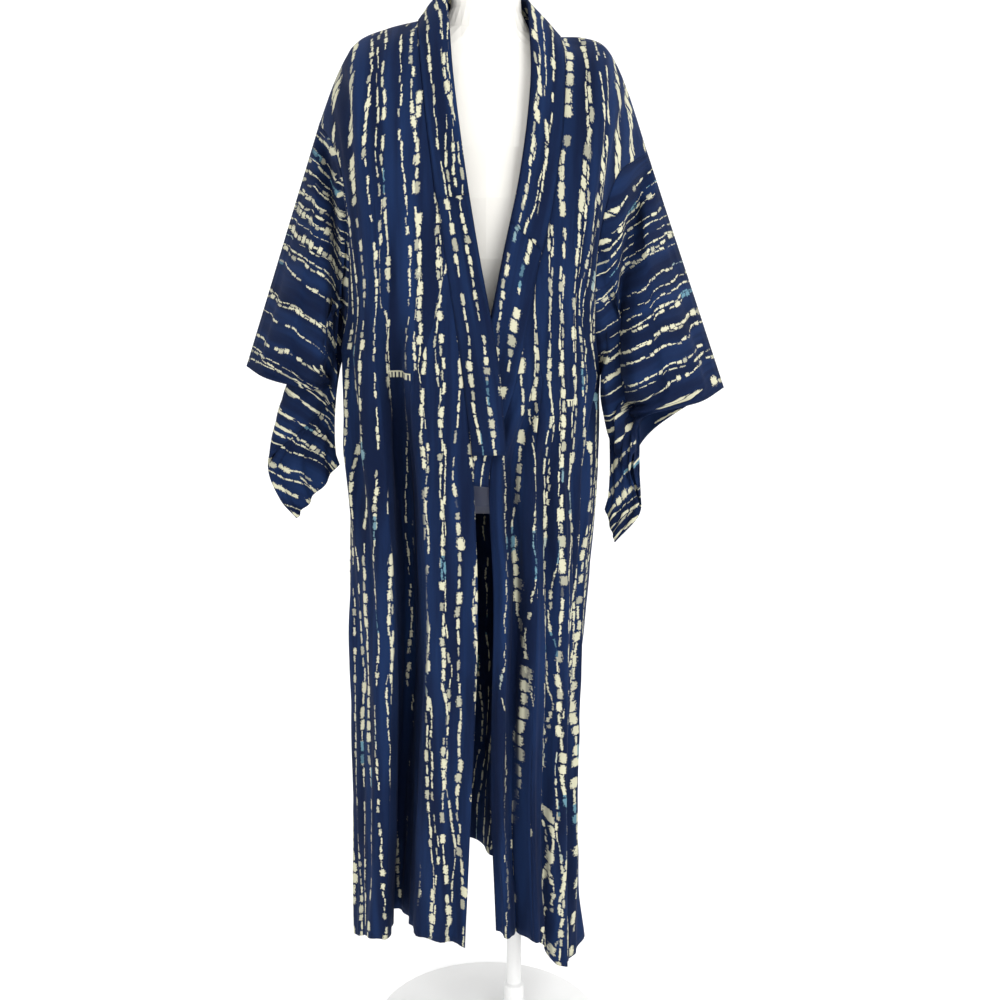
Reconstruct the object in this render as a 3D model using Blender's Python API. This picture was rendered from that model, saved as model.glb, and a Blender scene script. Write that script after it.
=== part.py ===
"""A cotton yukata hanging open on a limbless dress form.

Metres, +Z up, the garment's front faces -Y.  The origin is the middle of the
stand's base, on the floor.  "right" and "left" are the wearer's own: right is
at -X.  The cloth panels are cut as a kimono is: one body panel for each side
from front hem over the shoulder to back hem, a front overlap panel, a sleeve
bag for each side, one collar band and an over-collar on it.  All the panels
share their seam points, so every seam closes to the same narrow gap.
"""

import math
from collections import namedtuple

import bmesh
import bpy
import numpy as np

# Cloth and seams
CLOTH = 0.002  # wall of one panel
COLLAR_WALL = 0.003  # the collar band is folded double
OVER_COLLAR_WALL = 0.0015
SEAM_GAP = 0.0003
LAID_GAP = 0.0004  # over-collar above the collar
MITRE_LIMIT = 0.6

# The cut, as flat cloth
OVERLAP_WIDTH = 0.15
FRONT_WIDTH = 0.27
BACK_WIDTH = 0.30
NECK_HALF = 0.09  # half of the neck opening, from the centre back seam
PANEL_WIDTH = 0.36  # centre back to armhole
ARMHOLE_DROP = 0.40
SLEEVE_DROP = 0.49
SLEEVE_WIDTH = 0.36
CUFF_OPENING = 0.25

# Rows of points up each side: hem, collar end, armpit, overlap tip, shoulder ridge
ROW_COLLAR_END = 12
ROW_ARMPIT = 15
ROW_TIP = 19
ROW_RIDGE = 27
OVERLAP_COLUMNS = 6
FRONT_COLUMNS = 14
NECK_COLUMNS = 3
COLLAR_COLUMNS = 3
SLEEVE_COLUMNS = 9
SLEEVE_TAIL = 3  # points of the sleeve below the armpit
DENSE = 500  # points on an outline before it is shared out into columns

Level = namedtuple("Level", "z x_side x_edge y_front y_back middle squareness")
# x_edge is the free front edge, and above the collar end the collar's seam.
# middle is where the two halves of the ring meet, in x.
LEVELS = {
    "right": [
        Level(0.25, -0.222, -0.036, -0.130, 0.150, -0.034, 2.5),
        Level(0.50, -0.219, -0.024, -0.135, 0.150, -0.034, 2.5),
        Level(0.80, -0.218, -0.013, -0.145, 0.148, -0.032, 2.5),
        Level(1.03, -0.220, -0.021, -0.152, 0.140, -0.028, 2.5),
        Level(1.17, -0.222, -0.037, -0.150, 0.130, -0.024, 2.4),
    ],
    "left": [
        Level(0.25, 0.160, 0.014, -0.118, 0.150, -0.034, 2.6),
        Level(0.50, 0.150, 0.006, -0.128, 0.150, -0.034, 2.6),
        Level(0.80, 0.160, 0.011, -0.138, 0.148, -0.032, 2.6),
        Level(0.98, 0.170, 0.016, -0.143, 0.140, -0.028, 2.5),
        Level(1.14, 0.178, 0.045, -0.141, 0.130, -0.024, 2.4),
    ],
}
SIDE_SEAM_Y = 0.0
ARMPIT_PARTING = 0.002  # the side seam opens a little at its top end
ARMPIT_Z = {"right": 1.17, "left": 1.14}
COLLAR_END_Z = {"right": 1.03, "left": 0.98}

Hem = namedtuple("Hem", "share z")
# share runs from the free front edge, 0, round the side to the centre back, 1
HEMS = {
    "right": [
        Hem(0.0, 0.213), Hem(0.10, 0.228), Hem(0.275, 0.206), Hem(0.46, 0.210), Hem(0.60, 0.176), Hem(1.0, 0.278),
    ],
    "left": [
        Hem(0.0, 0.226), Hem(0.12, 0.222), Hem(0.22, 0.195), Hem(0.38, 0.162), Hem(0.55, 0.185), Hem(1.0, 0.278),
    ],
}

Pleat = namedtuple("Pleat", "place half_width d_hem d_low d_mid d_high")
# place is metres along the unfolded ring from the free front edge.  The depths
# are at z 0.25, 0.60, 0.95 and 1.17; a positive depth goes inwards.
PLEAT_LEVELS = (0.25, 0.60, 0.95, 1.17)
PLEATS = {
    "right": [
        Pleat(0.106, 0.030, 0.130, 0.110, 0.060, 0.010),
        Pleat(0.045, 0.030, -0.006, -0.008, -0.004, 0.000),
        Pleat(0.158, 0.026, -0.012, -0.010, -0.006, -0.004),
        Pleat(0.300, 0.035, 0.018, 0.012, 0.006, 0.000),
        Pleat(0.385, 0.035, -0.020, -0.016, -0.008, 0.000),
        Pleat(0.450, 0.030, 0.026, 0.020, 0.008, 0.000),
    ],
    "left": [
        Pleat(0.035, 0.026, 0.008, 0.012, 0.010, 0.004),
        Pleat(0.100, 0.034, -0.012, -0.008, -0.006, -0.004),
        Pleat(0.172, 0.024, 0.020, 0.022, 0.016, 0.010),
        Pleat(0.235, 0.034, -0.016, 0.006, -0.008, 0.000),
        Pleat(0.310, 0.030, 0.034, 0.024, 0.010, 0.000),
        Pleat(0.375, 0.032, -0.026, -0.018, -0.008, 0.000),
        Pleat(0.440, 0.030, 0.034, 0.026, 0.010, 0.000),
    ],
}

Spot = namedtuple("Spot", "at x y z")
# Collar seam from the armpit's level to the shoulder; at is the row of points
COLLAR_SEAMS = {
    "right": [
        Spot(15, -0.037, -0.150, 1.170),
        Spot(17, -0.048, -0.146, 1.250),
        Spot(19, -0.060, -0.140, 1.330),
        Spot(21.5, -0.075, -0.126, 1.430),
        Spot(24, -0.090, -0.096, 1.550),
        Spot(25.8, -0.099, -0.050, 1.640),
        Spot(27, -0.101, 0.012, 1.672),
    ],
    "left": [
        Spot(15, 0.045, -0.141, 1.140),
        Spot(17, 0.060, -0.138, 1.215),
        Spot(19, 0.074, -0.134, 1.290),
        Spot(21.5, 0.098, -0.122, 1.400),
        Spot(24, 0.114, -0.094, 1.520),
        Spot(25.8, 0.117, -0.050, 1.610),
        Spot(27, 0.111, 0.012, 1.648),
    ],
}
# Free edge of the collar; rows above the ridge run along the back of the neck
COLLAR_EDGES = {
    "right": [
        Spot(12, 0.030, -0.168, 1.034),
        Spot(15, 0.020, -0.169, 1.160),
        Spot(17, 0.006, -0.163, 1.245),
        Spot(19, -0.009, -0.152, 1.325),
        Spot(21.5, -0.028, -0.136, 1.440),
        Spot(24, -0.047, -0.094, 1.580),
        Spot(25.8, -0.055, -0.040, 1.670),
        Spot(27, -0.059, 0.016, 1.726),
        Spot(28.5, -0.046, 0.072, 1.724),
        Spot(30, 0.000, 0.090, 1.716),
    ],
    "left": [
        Spot(12, -0.035, -0.148, 0.985),
        Spot(15, -0.012, -0.149, 1.150),
        Spot(17, 0.008, -0.146, 1.240),
        Spot(19, 0.026, -0.140, 1.330),
        Spot(21.5, 0.051, -0.126, 1.450),
        Spot(24, 0.066, -0.088, 1.575),
        Spot(25.8, 0.065, -0.036, 1.655),
        Spot(27, 0.060, 0.016, 1.702),
        Spot(28.5, 0.044, 0.072, 1.712),
        Spot(30, 0.000, 0.090, 1.716),
    ],
}
BACK_NECK = (0.000, 0.092, 1.652)
OVER_COLLAR_END_ROW = {"right": 21, "left": 20}

# Shoulder ridge from the neck to the top of the sleeve seam; at is the share of its length
RIDGES = {
    "right": [
        Spot(0.00, -0.101, 0.012, 1.672),
        Spot(0.22, -0.150, 0.010, 1.660),
        Spot(0.42, -0.196, 0.008, 1.640),
        Spot(0.60, -0.224, 0.006, 1.598),
        Spot(1.00, -0.256, 0.004, 1.520),
    ],
    "left": [
        Spot(0.00, 0.111, 0.012, 1.648),
        Spot(0.22, 0.150, 0.010, 1.646),
        Spot(0.40, 0.182, 0.008, 1.632),
        Spot(0.58, 0.209, 0.006, 1.585),
        Spot(1.00, 0.248, 0.004, 1.476),
    ],
}
# Armhole seam from the armpit, 0, to the top of the sleeve seam, 1
ARMHOLES_FRONT = {
    "right": [
        Spot(0.0, -0.224, 0.000, 1.170),
        Spot(0.3, -0.222, -0.072, 1.260),
        Spot(0.6, -0.230, -0.078, 1.380),
        Spot(0.85, -0.242, -0.048, 1.478),
        Spot(1.0, -0.256, 0.004, 1.520),
    ],
    "left": [
        Spot(0.0, 0.178, 0.000, 1.140),
        Spot(0.3, 0.182, -0.072, 1.228),
        Spot(0.6, 0.198, -0.080, 1.345),
        Spot(0.85, 0.226, -0.050, 1.438),
        Spot(1.0, 0.248, 0.004, 1.476),
    ],
}
ARMHOLES_BACK = {
    "right": [
        Spot(0.0, -0.224, 0.000, 1.170),
        Spot(0.3, -0.226, 0.068, 1.260),
        Spot(0.6, -0.234, 0.080, 1.380),
        Spot(0.85, -0.246, 0.052, 1.478),
        Spot(1.0, -0.256, 0.004, 1.520),
    ],
    "left": [
        Spot(0.0, 0.178, 0.000, 1.140),
        Spot(0.3, 0.186, 0.068, 1.228),
        Spot(0.6, 0.204, 0.080, 1.345),
        Spot(0.85, 0.230, 0.052, 1.438),
        Spot(1.0, 0.248, 0.004, 1.476),
    ],
}
# The sleeve's end below the armpit, where its inner edge is sewn shut
SLEEVE_TAILS = {"right": (-0.238, 0.000, 1.035), "left": (0.198, 0.000, 0.990)}
TAIL_SWING = 0.012  # how far that edge hangs clear of the body below the armpit
# Cuff edge; at is metres of cloth from the top fold
CUFFS_FRONT = {
    "right": [
        Spot(0.00, -0.381, 0.004, 1.180),
        Spot(0.08, -0.354, -0.044, 1.152),
        Spot(0.17, -0.332, -0.060, 1.114),
        Spot(0.25, -0.330, -0.016, 1.070),
        Spot(0.34, -0.334, -0.028, 1.016),
        Spot(0.42, -0.330, -0.026, 0.955),
        Spot(0.49, -0.308, -0.022, 0.912),
    ],
    "left": [
        Spot(0.00, 0.377, 0.004, 1.150),
        Spot(0.08, 0.335, -0.044, 1.122),
        Spot(0.17, 0.285, -0.060, 1.080),
        Spot(0.25, 0.262, -0.016, 1.028),
        Spot(0.34, 0.254, -0.028, 0.968),
        Spot(0.42, 0.240, -0.026, 0.916),
        Spot(0.49, 0.216, -0.022, 0.876),
    ],
}
CUFFS_BACK = {
    "right": [
        Spot(0.00, -0.381, 0.004, 1.180),
        Spot(0.08, -0.354, 0.050, 1.150),
        Spot(0.15, -0.334, 0.044, 1.118),
        Spot(0.20, -0.331, 0.014, 1.092),
        Spot(0.25, -0.330, -0.016, 1.070),
    ],
    "left": [
        Spot(0.00, 0.377, 0.004, 1.150),
        Spot(0.08, 0.338, 0.050, 1.118),
        Spot(0.15, 0.297, 0.044, 1.083),
        Spot(0.20, 0.275, 0.016, 1.054),
        Spot(0.25, 0.262, -0.016, 1.028),
    ],
}
CUFF_PINCH = 0.0034  # between the middles of two walls that are sewn together
SLEEVE_BELLY = {"front": 0.030, "back": 0.026}

Crease = namedtuple("Crease", "u0 v0 u1 v1 half_width depth")
# Long soft folds on the sleeves, from one point of the flat sleeve to another, as
# shares of its width and metres from the top fold.  A positive depth goes inwards.
SLEEVE_CREASES = {
    ("right", "front"): [Crease(0.00, 0.12, 1.10, 0.30, 0.050, 0.009)],
    ("right", "back"): [],
    ("left", "front"): [Crease(0.00, 0.10, 1.10, 0.26, 0.050, 0.011)],
    ("left", "back"): [],
}

# How far the chest and back stand out between the seams
CHEST_EASE = 0.060
BACK_EASE = 0.072
CENTRE_BACK_EASE = 0.030
SHOULDER_ROUNDNESS = 2.6

Section = namedtuple("Section", "z half_width half_depth y roundness")
FORM_SECTIONS = [
    Section(0.925, 0.118, 0.084, 0.004, 2.3),
    Section(0.940, 0.138, 0.100, 0.004, 2.3),
    Section(0.985, 0.146, 0.108, 0.004, 2.3),
    Section(1.050, 0.143, 0.106, 0.004, 2.2),
    Section(1.150, 0.124, 0.092, 0.000, 2.2),
    Section(1.230, 0.116, 0.088, -0.002, 2.2),
    Section(1.320, 0.128, 0.096, -0.004, 2.3),
    Section(1.410, 0.148, 0.100, 0.000, 2.4),
    Section(1.480, 0.164, 0.094, 0.006, 2.4),
    Section(1.540, 0.176, 0.076, 0.008, 2.3),
    Section(1.580, 0.178, 0.058, 0.006, 2.2),
    Section(1.600, 0.164, 0.048, 0.006, 2.1),
    Section(1.613, 0.136, 0.042, 0.008, 2.0),
    Section(1.624, 0.096, 0.042, 0.011, 2.0),
    Section(1.640, 0.068, 0.046, 0.015, 2.0),
    Section(1.668, 0.054, 0.050, 0.017, 2.0),
    Section(1.710, 0.051, 0.050, 0.018, 2.0),
    Section(1.760, 0.050, 0.050, 0.018, 2.0),
    Section(1.768, 0.044, 0.044, 0.018, 2.0),
]
FORM_SIDES = 32
FORM_TILT_FROM = 1.45  # above here the shoulders tilt down to the left and rise to the cloth
FORM_TILT_OVER = 0.12
FORM_TILT = 0.07
FORM_LIFT = 0.0188

POLE_X = 0.045  # the pole stands beside the middle, behind the left front
POLE_Y = 0.004
POLE_RADIUS = 0.0125
SLEEVE_TUBE_RADIUS = 0.017
SLEEVE_TUBE_HEIGHT = 0.060
BASE_RADIUS = 0.190
BASE_HEIGHT = 0.012
BASE_BEVEL = 0.003
POLE_SIDES = 20
BASE_SIDES = 48

# Colour, roughness and metallic value of each finish
FINISHES = {
    "indigo_cotton": ((0.035, 0.060, 0.190), 0.85, 0.0),
    "cream_lacquer": ((0.860, 0.850, 0.800), 0.45, 0.0),
    "white_metal": ((0.880, 0.880, 0.860), 0.35, 0.0),
}


def clear_scene():
    for obj in list(bpy.data.objects):
        bpy.data.objects.remove(obj)


def finish(name):
    material = bpy.data.materials.get(name) or bpy.data.materials.new(name)
    color, roughness, metallic = FINISHES[name]
    material.use_nodes = True
    shader = material.node_tree.nodes["Principled BSDF"]
    shader.inputs["Base Color"].default_value = (*color, 1.0)
    shader.inputs["Roughness"].default_value = roughness
    shader.inputs["Metallic"].default_value = metallic
    return material


def smooth_curve(knots, values, at):
    """Cubic through the knots, with slopes that never overshoot between them."""
    knots, values = np.asarray(knots, float), np.asarray(values, float)
    at = np.clip(np.asarray(at, float), knots[0], knots[-1])
    step = np.diff(knots)
    shape = (-1,) + (1,) * (values.ndim - 1)
    slope = np.diff(values, axis=0) / step.reshape(shape)
    tangent = np.zeros_like(values)
    tangent[0], tangent[-1] = slope[0], slope[-1]
    before, after = slope[:-1], slope[1:]
    same_way = before * after > 0
    mean = 2 * before * after / np.where(same_way, before + after, 1.0)
    tangent[1:-1] = np.where(same_way, mean, 0.0)
    i = np.clip(np.searchsorted(knots, at, side="right") - 1, 0, len(step) - 1)
    h = step[i].reshape(at.shape + (1,) * (values.ndim - 1))
    t = ((at - knots[i]) / step[i]).reshape(h.shape)
    return (
        values[i] * (1 + 2 * t) * (1 - t) ** 2
        + tangent[i] * h * t * (1 - t) ** 2
        + values[i + 1] * t * t * (3 - 2 * t)
        + tangent[i + 1] * h * t * t * (t - 1)
    )


def flowing_curve(spots, at):
    """Catmull-Rom curve through a table of spots, read at values of its first column."""
    knots = np.array([s.at for s in spots], float)
    points = np.array([(s.x, s.y, s.z) for s in spots], float)
    step = np.diff(knots)
    tangent = np.zeros_like(points)
    tangent[1:-1] = (points[2:] - points[:-2]) / (knots[2:] - knots[:-2])[:, None]
    tangent[0] = (points[1] - points[0]) / step[0]
    tangent[-1] = (points[-1] - points[-2]) / step[-1]
    at = np.clip(np.asarray(at, float), knots[0], knots[-1])
    i = np.clip(np.searchsorted(knots, at, side="right") - 1, 0, len(step) - 1)
    h = step[i][:, None]
    t = ((at - knots[i]) / step[i])[:, None]
    return (
        points[i] * (1 + 2 * t) * (1 - t) ** 2
        + tangent[i] * h * t * (1 - t) ** 2
        + points[i + 1] * t * t * (3 - 2 * t)
        + tangent[i + 1] * h * t * t * (t - 1)
    )


def shared_out(line, shares):
    """Points of a polyline at shares of its length."""
    lengths = np.linalg.norm(np.diff(line, axis=0), axis=1)
    along = np.concatenate([[0.0], np.cumsum(lengths)])
    return np.stack([np.interp(np.asarray(shares) * along[-1], along, line[:, k]) for k in range(line.shape[1])], 1)


def signed_power(value, power):
    return np.sign(value) * np.abs(value) ** power


def level_at(side, z):
    rows = LEVELS[side]
    return Level(z, *smooth_curve([r.z for r in rows], [r[1:] for r in rows], np.array([z]))[0])


def ring_outline(side, z):
    """Plan outline of one side of the garment, from its free front edge to the centre back."""
    level = level_at(side, z)
    out = -1.0 if side == "right" else 1.0
    half = abs(level.x_side - level.middle)
    y_mid = (level.y_front + level.y_back) / 2
    depth = (level.y_back - level.y_front) / 2
    start = (level.x_edge - level.middle) * out / half
    angle = np.linspace(math.asin(float(signed_power(start, level.squareness / 2))), math.pi, DENSE)
    power = 2 / level.squareness
    x = level.middle + out * half * signed_power(np.sin(angle), power)
    y = y_mid - depth * signed_power(np.cos(angle), power)
    line = np.stack([x, y], 1)
    line = shared_out(line, np.linspace(0, 1, DENSE))
    run = np.gradient(line, axis=0)
    run /= np.linalg.norm(run, axis=1)[:, None]
    inward = np.stack([-run[:, 1], run[:, 0]], 1) * out
    length = np.linalg.norm(np.diff(line, axis=0), axis=1).sum()
    place = np.linspace(0, length, DENSE)
    push = np.zeros_like(line)
    for pleat in PLEATS[side]:
        depth_here = float(smooth_curve(PLEAT_LEVELS, pleat[2:], np.array([z]))[0])
        near = np.clip(np.abs(place - pleat.place) / pleat.half_width, 0, 1)
        # The whole pleat goes one way, so that its two walls stay apart
        way = inward[np.argmin(np.abs(place - pleat.place))]
        push += depth_here * 0.5 * (1 + np.cos(math.pi * near))[:, None] * way
    return line + push


def overlap_share(row):
    """Share of the front, from its free edge, that is the overlap panel at a row."""
    full = OVERLAP_WIDTH / (OVERLAP_WIDTH + FRONT_WIDTH)
    if row <= ROW_COLLAR_END:
        return full
    return full * max(0.0, (ROW_TIP - row) / (ROW_TIP - ROW_COLLAR_END))


def side_share(line):
    """Share of a side's outline at which the side seam runs, half way from front to back."""
    last = np.flatnonzero(line[:, 1] < SIDE_SEAM_Y)[-1]
    along = last + (SIDE_SEAM_Y - line[last, 1]) / (line[last + 1, 1] - line[last, 1])
    lengths = np.concatenate([[0.0], np.cumsum(np.linalg.norm(np.diff(line, axis=0), axis=1))])
    return float(np.interp(along, np.arange(len(line)), lengths) / lengths[-1])


def front_shares(row):
    """Shares across the front at which the columns of the overlap and body panels lie."""
    edge = overlap_share(row)
    return np.concatenate(
        [np.linspace(0, edge, OVERLAP_COLUMNS + 1), np.linspace(edge, 1, FRONT_COLUMNS + 1)[1:]]
    )


def back_shares():
    """Shares across the back, from the centre seam to the side."""
    neck = NECK_HALF / PANEL_WIDTH
    return np.concatenate(
        [np.linspace(0, neck, NECK_COLUMNS + 1), np.linspace(neck, 1, FRONT_COLUMNS + 1)[1:]]
    )


def nominal_z(side, row):
    """Height of a row below the armpit, before the hem's own rise and fall."""
    hem, end, pit = LEVELS[side][0].z, COLLAR_END_Z[side], ARMPIT_Z[side]
    return float(np.interp(row, [0, ROW_COLLAR_END, ROW_ARMPIT], [hem, end, pit]))


def hem_rise(side, row, shares):
    """What the hem's own line adds to the height of a row, fading out upwards."""
    rows = HEMS[side]
    drop = smooth_curve([r.share for r in rows], [r.z for r in rows], shares) - LEVELS[side][0].z
    return drop * max(0.0, 1 - row / ROW_COLLAR_END)


def low_rows(side):
    """Front and back points of every row from the hem to the armpit."""
    front, back = [], []
    for row in range(ROW_ARMPIT + 1):
        z = nominal_z(side, row)
        line = ring_outline(side, z)
        split = side_share(line)
        ahead = split * front_shares(row)
        behind = 1 - (1 - split) * back_shares()
        for shares, rows in ((ahead, front), (behind, back)):
            flat = shared_out(line, shares)
            height = z + hem_rise(side, row, shares)
            rows.append(np.column_stack([flat, height]))
    front, back = np.array(front), np.array(back)
    front[-1, -1, 1] -= ARMPIT_PARTING
    back[-1, -1, 1] += ARMPIT_PARTING
    return front, back


def coons(inner, outer, bottom, top, fading):
    """Surface between four edges, as rows from bottom to top and columns from inner to outer.
    The top edge's own bow fades downwards, the faster the higher the number given."""
    rows = len(inner)
    s = shares_along(bottom)[None, :, None] * np.ones((rows, 1, 1))
    s_top = shares_along(top)[None, :, None]
    w = np.linspace(0, 1, rows)[:, None, None]
    s = (1 - w) * s + w * s_top
    across = (1 - s) * inner[:, None] + s * outer[:, None]
    bow_low = bottom[None] - (1 - s) * bottom[0] - s * bottom[-1]
    bow_high = top[None] - (1 - s) * top[0] - s * top[-1]
    return across + bow_low * (1 - w) ** 2 + bow_high * w**fading


def shares_along(line):
    lengths = np.linalg.norm(np.diff(line, axis=0), axis=1)
    return np.concatenate([[0.0], np.cumsum(lengths)]) / lengths.sum()


def rounding(w):
    """What an oval's quarter adds to the straight line between its ends."""
    return (1 - w**SHOULDER_ROUNDNESS) ** (1 / SHOULDER_ROUNDNESS) - (1 - w)


def bulge(grid, amount, toward):
    """Rounds the middle of a surface out towards its top, forwards or backwards."""
    rows, columns = grid.shape[:2]
    w = rounding(np.linspace(0, 1, rows))
    t = np.sin(np.linspace(0, math.pi, columns))
    grid = grid.copy()
    grid[:, :, 1] += toward * amount * w[:, None] * t[None, :]
    return grid


def high_front(side, bottom):
    """Front points from the armpit to the shoulder ridge, collar seam to armhole."""
    rows = np.arange(ROW_ARMPIT, ROW_RIDGE + 1)
    inner = flowing_curve(COLLAR_SEAMS[side], rows)
    inner[0] = bottom[0]
    outer = flowing_curve(ARMHOLES_FRONT[side], (rows - ROW_ARMPIT) / (ROW_RIDGE - ROW_ARMPIT))
    outer[0] = bottom[-1]
    ridge = ridge_points(side)
    top = np.concatenate([np.repeat(ridge[:1], OVERLAP_COLUMNS, axis=0), ridge])
    grid = []
    s_low, s_top = front_shares(ROW_ARMPIT), front_shares(ROW_RIDGE)
    dense = np.linspace(0, 1, 61)
    low_line = resample(bottom, s_low, dense)
    top_line = resample(top, s_top, dense)
    surface = bulge(coons(inner, outer, low_line, top_line, 2), CHEST_EASE, -1)
    for k, row in enumerate(rows):
        grid.append(shared_out(surface[k], front_shares(row)))
    grid = np.array(grid)
    grid[0], grid[-1] = bottom, top
    return grid


def resample(points, shares, at):
    """Points given at shares, read again at other shares."""
    keep = np.concatenate([[True], np.diff(shares) > 1e-9])
    return np.stack([np.interp(at, shares[keep], points[keep][:, k]) for k in range(3)], 1)


def ridge_points(side):
    """Points of the shoulder ridge under the front's columns."""
    return flowing_curve(RIDGES[side], np.linspace(0, 1, FRONT_COLUMNS + 1))


def high_back(side, bottom, neck_low):
    """Back points from the armpit to the ridge and the back of the neck."""
    steps = ROW_RIDGE - ROW_ARMPIT
    w = np.linspace(0, 1, steps + 1)
    inner = w[:, None] * (np.array(BACK_NECK) - neck_low) + neck_low
    inner[:, 1] += CENTRE_BACK_EASE * rounding(w)
    outer = flowing_curve(ARMHOLES_BACK[side], np.linspace(0, 1, steps + 1))
    outer[0] = bottom[-1]
    ridge = ridge_points(side)
    neck = neck_line(ridge[0])
    top = np.concatenate([neck[:-1], ridge])
    grid = bulge(coons(inner, outer, bottom, top, 5), BACK_EASE, 1)
    grid[0], grid[-1] = bottom, top
    return grid


def neck_line(shoulder):
    """Collar seam from the centre back to the shoulder, a quarter of an oval."""
    turn = np.linspace(0, math.pi / 2, NECK_COLUMNS + 1)
    x = BACK_NECK[0] + (shoulder[0] - BACK_NECK[0]) * np.sin(turn)
    y = shoulder[1] + (BACK_NECK[1] - shoulder[1]) * np.cos(turn)
    z = BACK_NECK[2] + (shoulder[2] - BACK_NECK[2]) * np.sin(turn) ** 2
    return np.stack([x, y, z], 1)


def sleeve_grid(side, front_edge, back_edge):
    """Points of a sleeve: columns from armhole to cuff, and round the bag from its foot,
    up the front to the top fold and down the back to its foot."""
    tail = np.array(SLEEVE_TAILS[side])
    steps = np.linspace(1, 0, SLEEVE_TAIL + 1)[:-1, None]
    armpit = (front_edge[0] + back_edge[0]) / 2
    swing = np.array([math.copysign(TAIL_SWING, armpit[0]), 0, 0]) * np.sin(math.pi * steps) ** 0.5
    foot = armpit + (tail - armpit) * steps + swing
    foot_drop = ARMHOLE_DROP + (SLEEVE_DROP - ARMHOLE_DROP) * steps[:, 0]
    drop = np.concatenate([foot_drop, np.linspace(ARMHOLE_DROP, 0, len(front_edge))])
    cuff_front = flowing_curve(CUFFS_FRONT[side], drop)
    opened = flowing_curve(CUFFS_BACK[side], np.clip(drop, None, CUFF_OPENING))
    cuff_back = np.where((drop >= CUFF_OPENING)[:, None], cuff_front, opened)
    u = np.linspace(0, 1, SLEEVE_COLUMNS + 1)[:, None]
    layers = []
    for edge, cuff in ((front_edge, cuff_front), (back_edge, cuff_back)):
        inner = np.concatenate([foot, edge])
        layers.append((1 - u)[:, :, None] * inner[None] + u[:, :, None] * cuff[None])
    lift = np.clip((drop - 0.15) / 0.10, 0, 1) * np.clip((0.45 - drop) / 0.04, 0, 1)
    for grid in layers:
        grid[:, :, 0] += math.copysign(TAIL_SWING, armpit[0]) * np.minimum(u / 0.1, 1) * (1 - u) * lift
    apart = sleeve_normal((layers[0] + layers[1]) / 2, drop)
    full = np.sin(math.pi * u**1.1) * np.sin(math.pi * np.clip(drop / SLEEVE_DROP, 0, 1))[None, :]
    sewn = np.clip(drop / 0.06, 0, 1)[None, :] * CUFF_PINCH / 2
    for grid, face, sign in ((layers[0], "front", -1.0), (layers[1], "back", 1.0)):
        push = full * SLEEVE_BELLY[face] + sewn
        for crease in SLEEVE_CREASES[(side, face)]:
            push = push - crease_depth(crease, u, drop[None, :])
        grid += sign * push[:, :, None] * apart
    return np.concatenate([layers[0], layers[1][:, -2::-1]], axis=1)


def sleeve_normal(middle, drop):
    """Way in which front and back part: straight back above, square to the cloth below."""
    normal = np.cross(np.gradient(middle, axis=0), np.gradient(middle, axis=1))
    normal /= np.maximum(np.linalg.norm(normal, axis=2), 1e-12)[:, :, None]
    normal *= np.sign(normal[:, len(drop) // 2, 1].mean())
    low = np.clip((drop - 0.20) / 0.10, 0, 1)[None, :, None]
    normal = normal * low + np.array([0.0, 1.0, 0.0]) * (1 - low)
    return normal / np.linalg.norm(normal, axis=2)[:, :, None]


def crease_depth(crease, u, v):
    """Depth of a crease at points of the flat sleeve, none at its ends and at the seams."""
    run = np.array([(crease.u1 - crease.u0) * SLEEVE_WIDTH, crease.v1 - crease.v0])
    length = np.linalg.norm(run)
    run /= length
    du, dv = (u - crease.u0) * SLEEVE_WIDTH, v - crease.v0
    along = (du * run[0] + dv * run[1]) / length
    off = np.abs(dv * run[0] - du * run[1]) / crease.half_width
    profile = 0.5 * (1 + np.cos(math.pi * np.clip(off, 0, 1)))
    ends = np.sin(math.pi * np.clip(along, 0, 1)) ** 0.6
    seam = np.clip(u / 0.35, 0, 1) ** 1.5 * np.clip((SLEEVE_DROP - v) / 0.04, 0, 1) * np.clip(v / 0.03, 0, 1)
    shut = np.where(v > CUFF_OPENING - 0.03, np.clip((1 - u) / 0.3, 0, 1), 1.0)
    return crease.depth * profile * ends * seam * shut


def face_normal(points, face):
    a, b, c, d = (points[face[k]] for k in (0, 1, 2, -1))
    return np.cross(c - a, d - b) if len(face) == 4 else np.cross(b - a, c - a)


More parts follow.
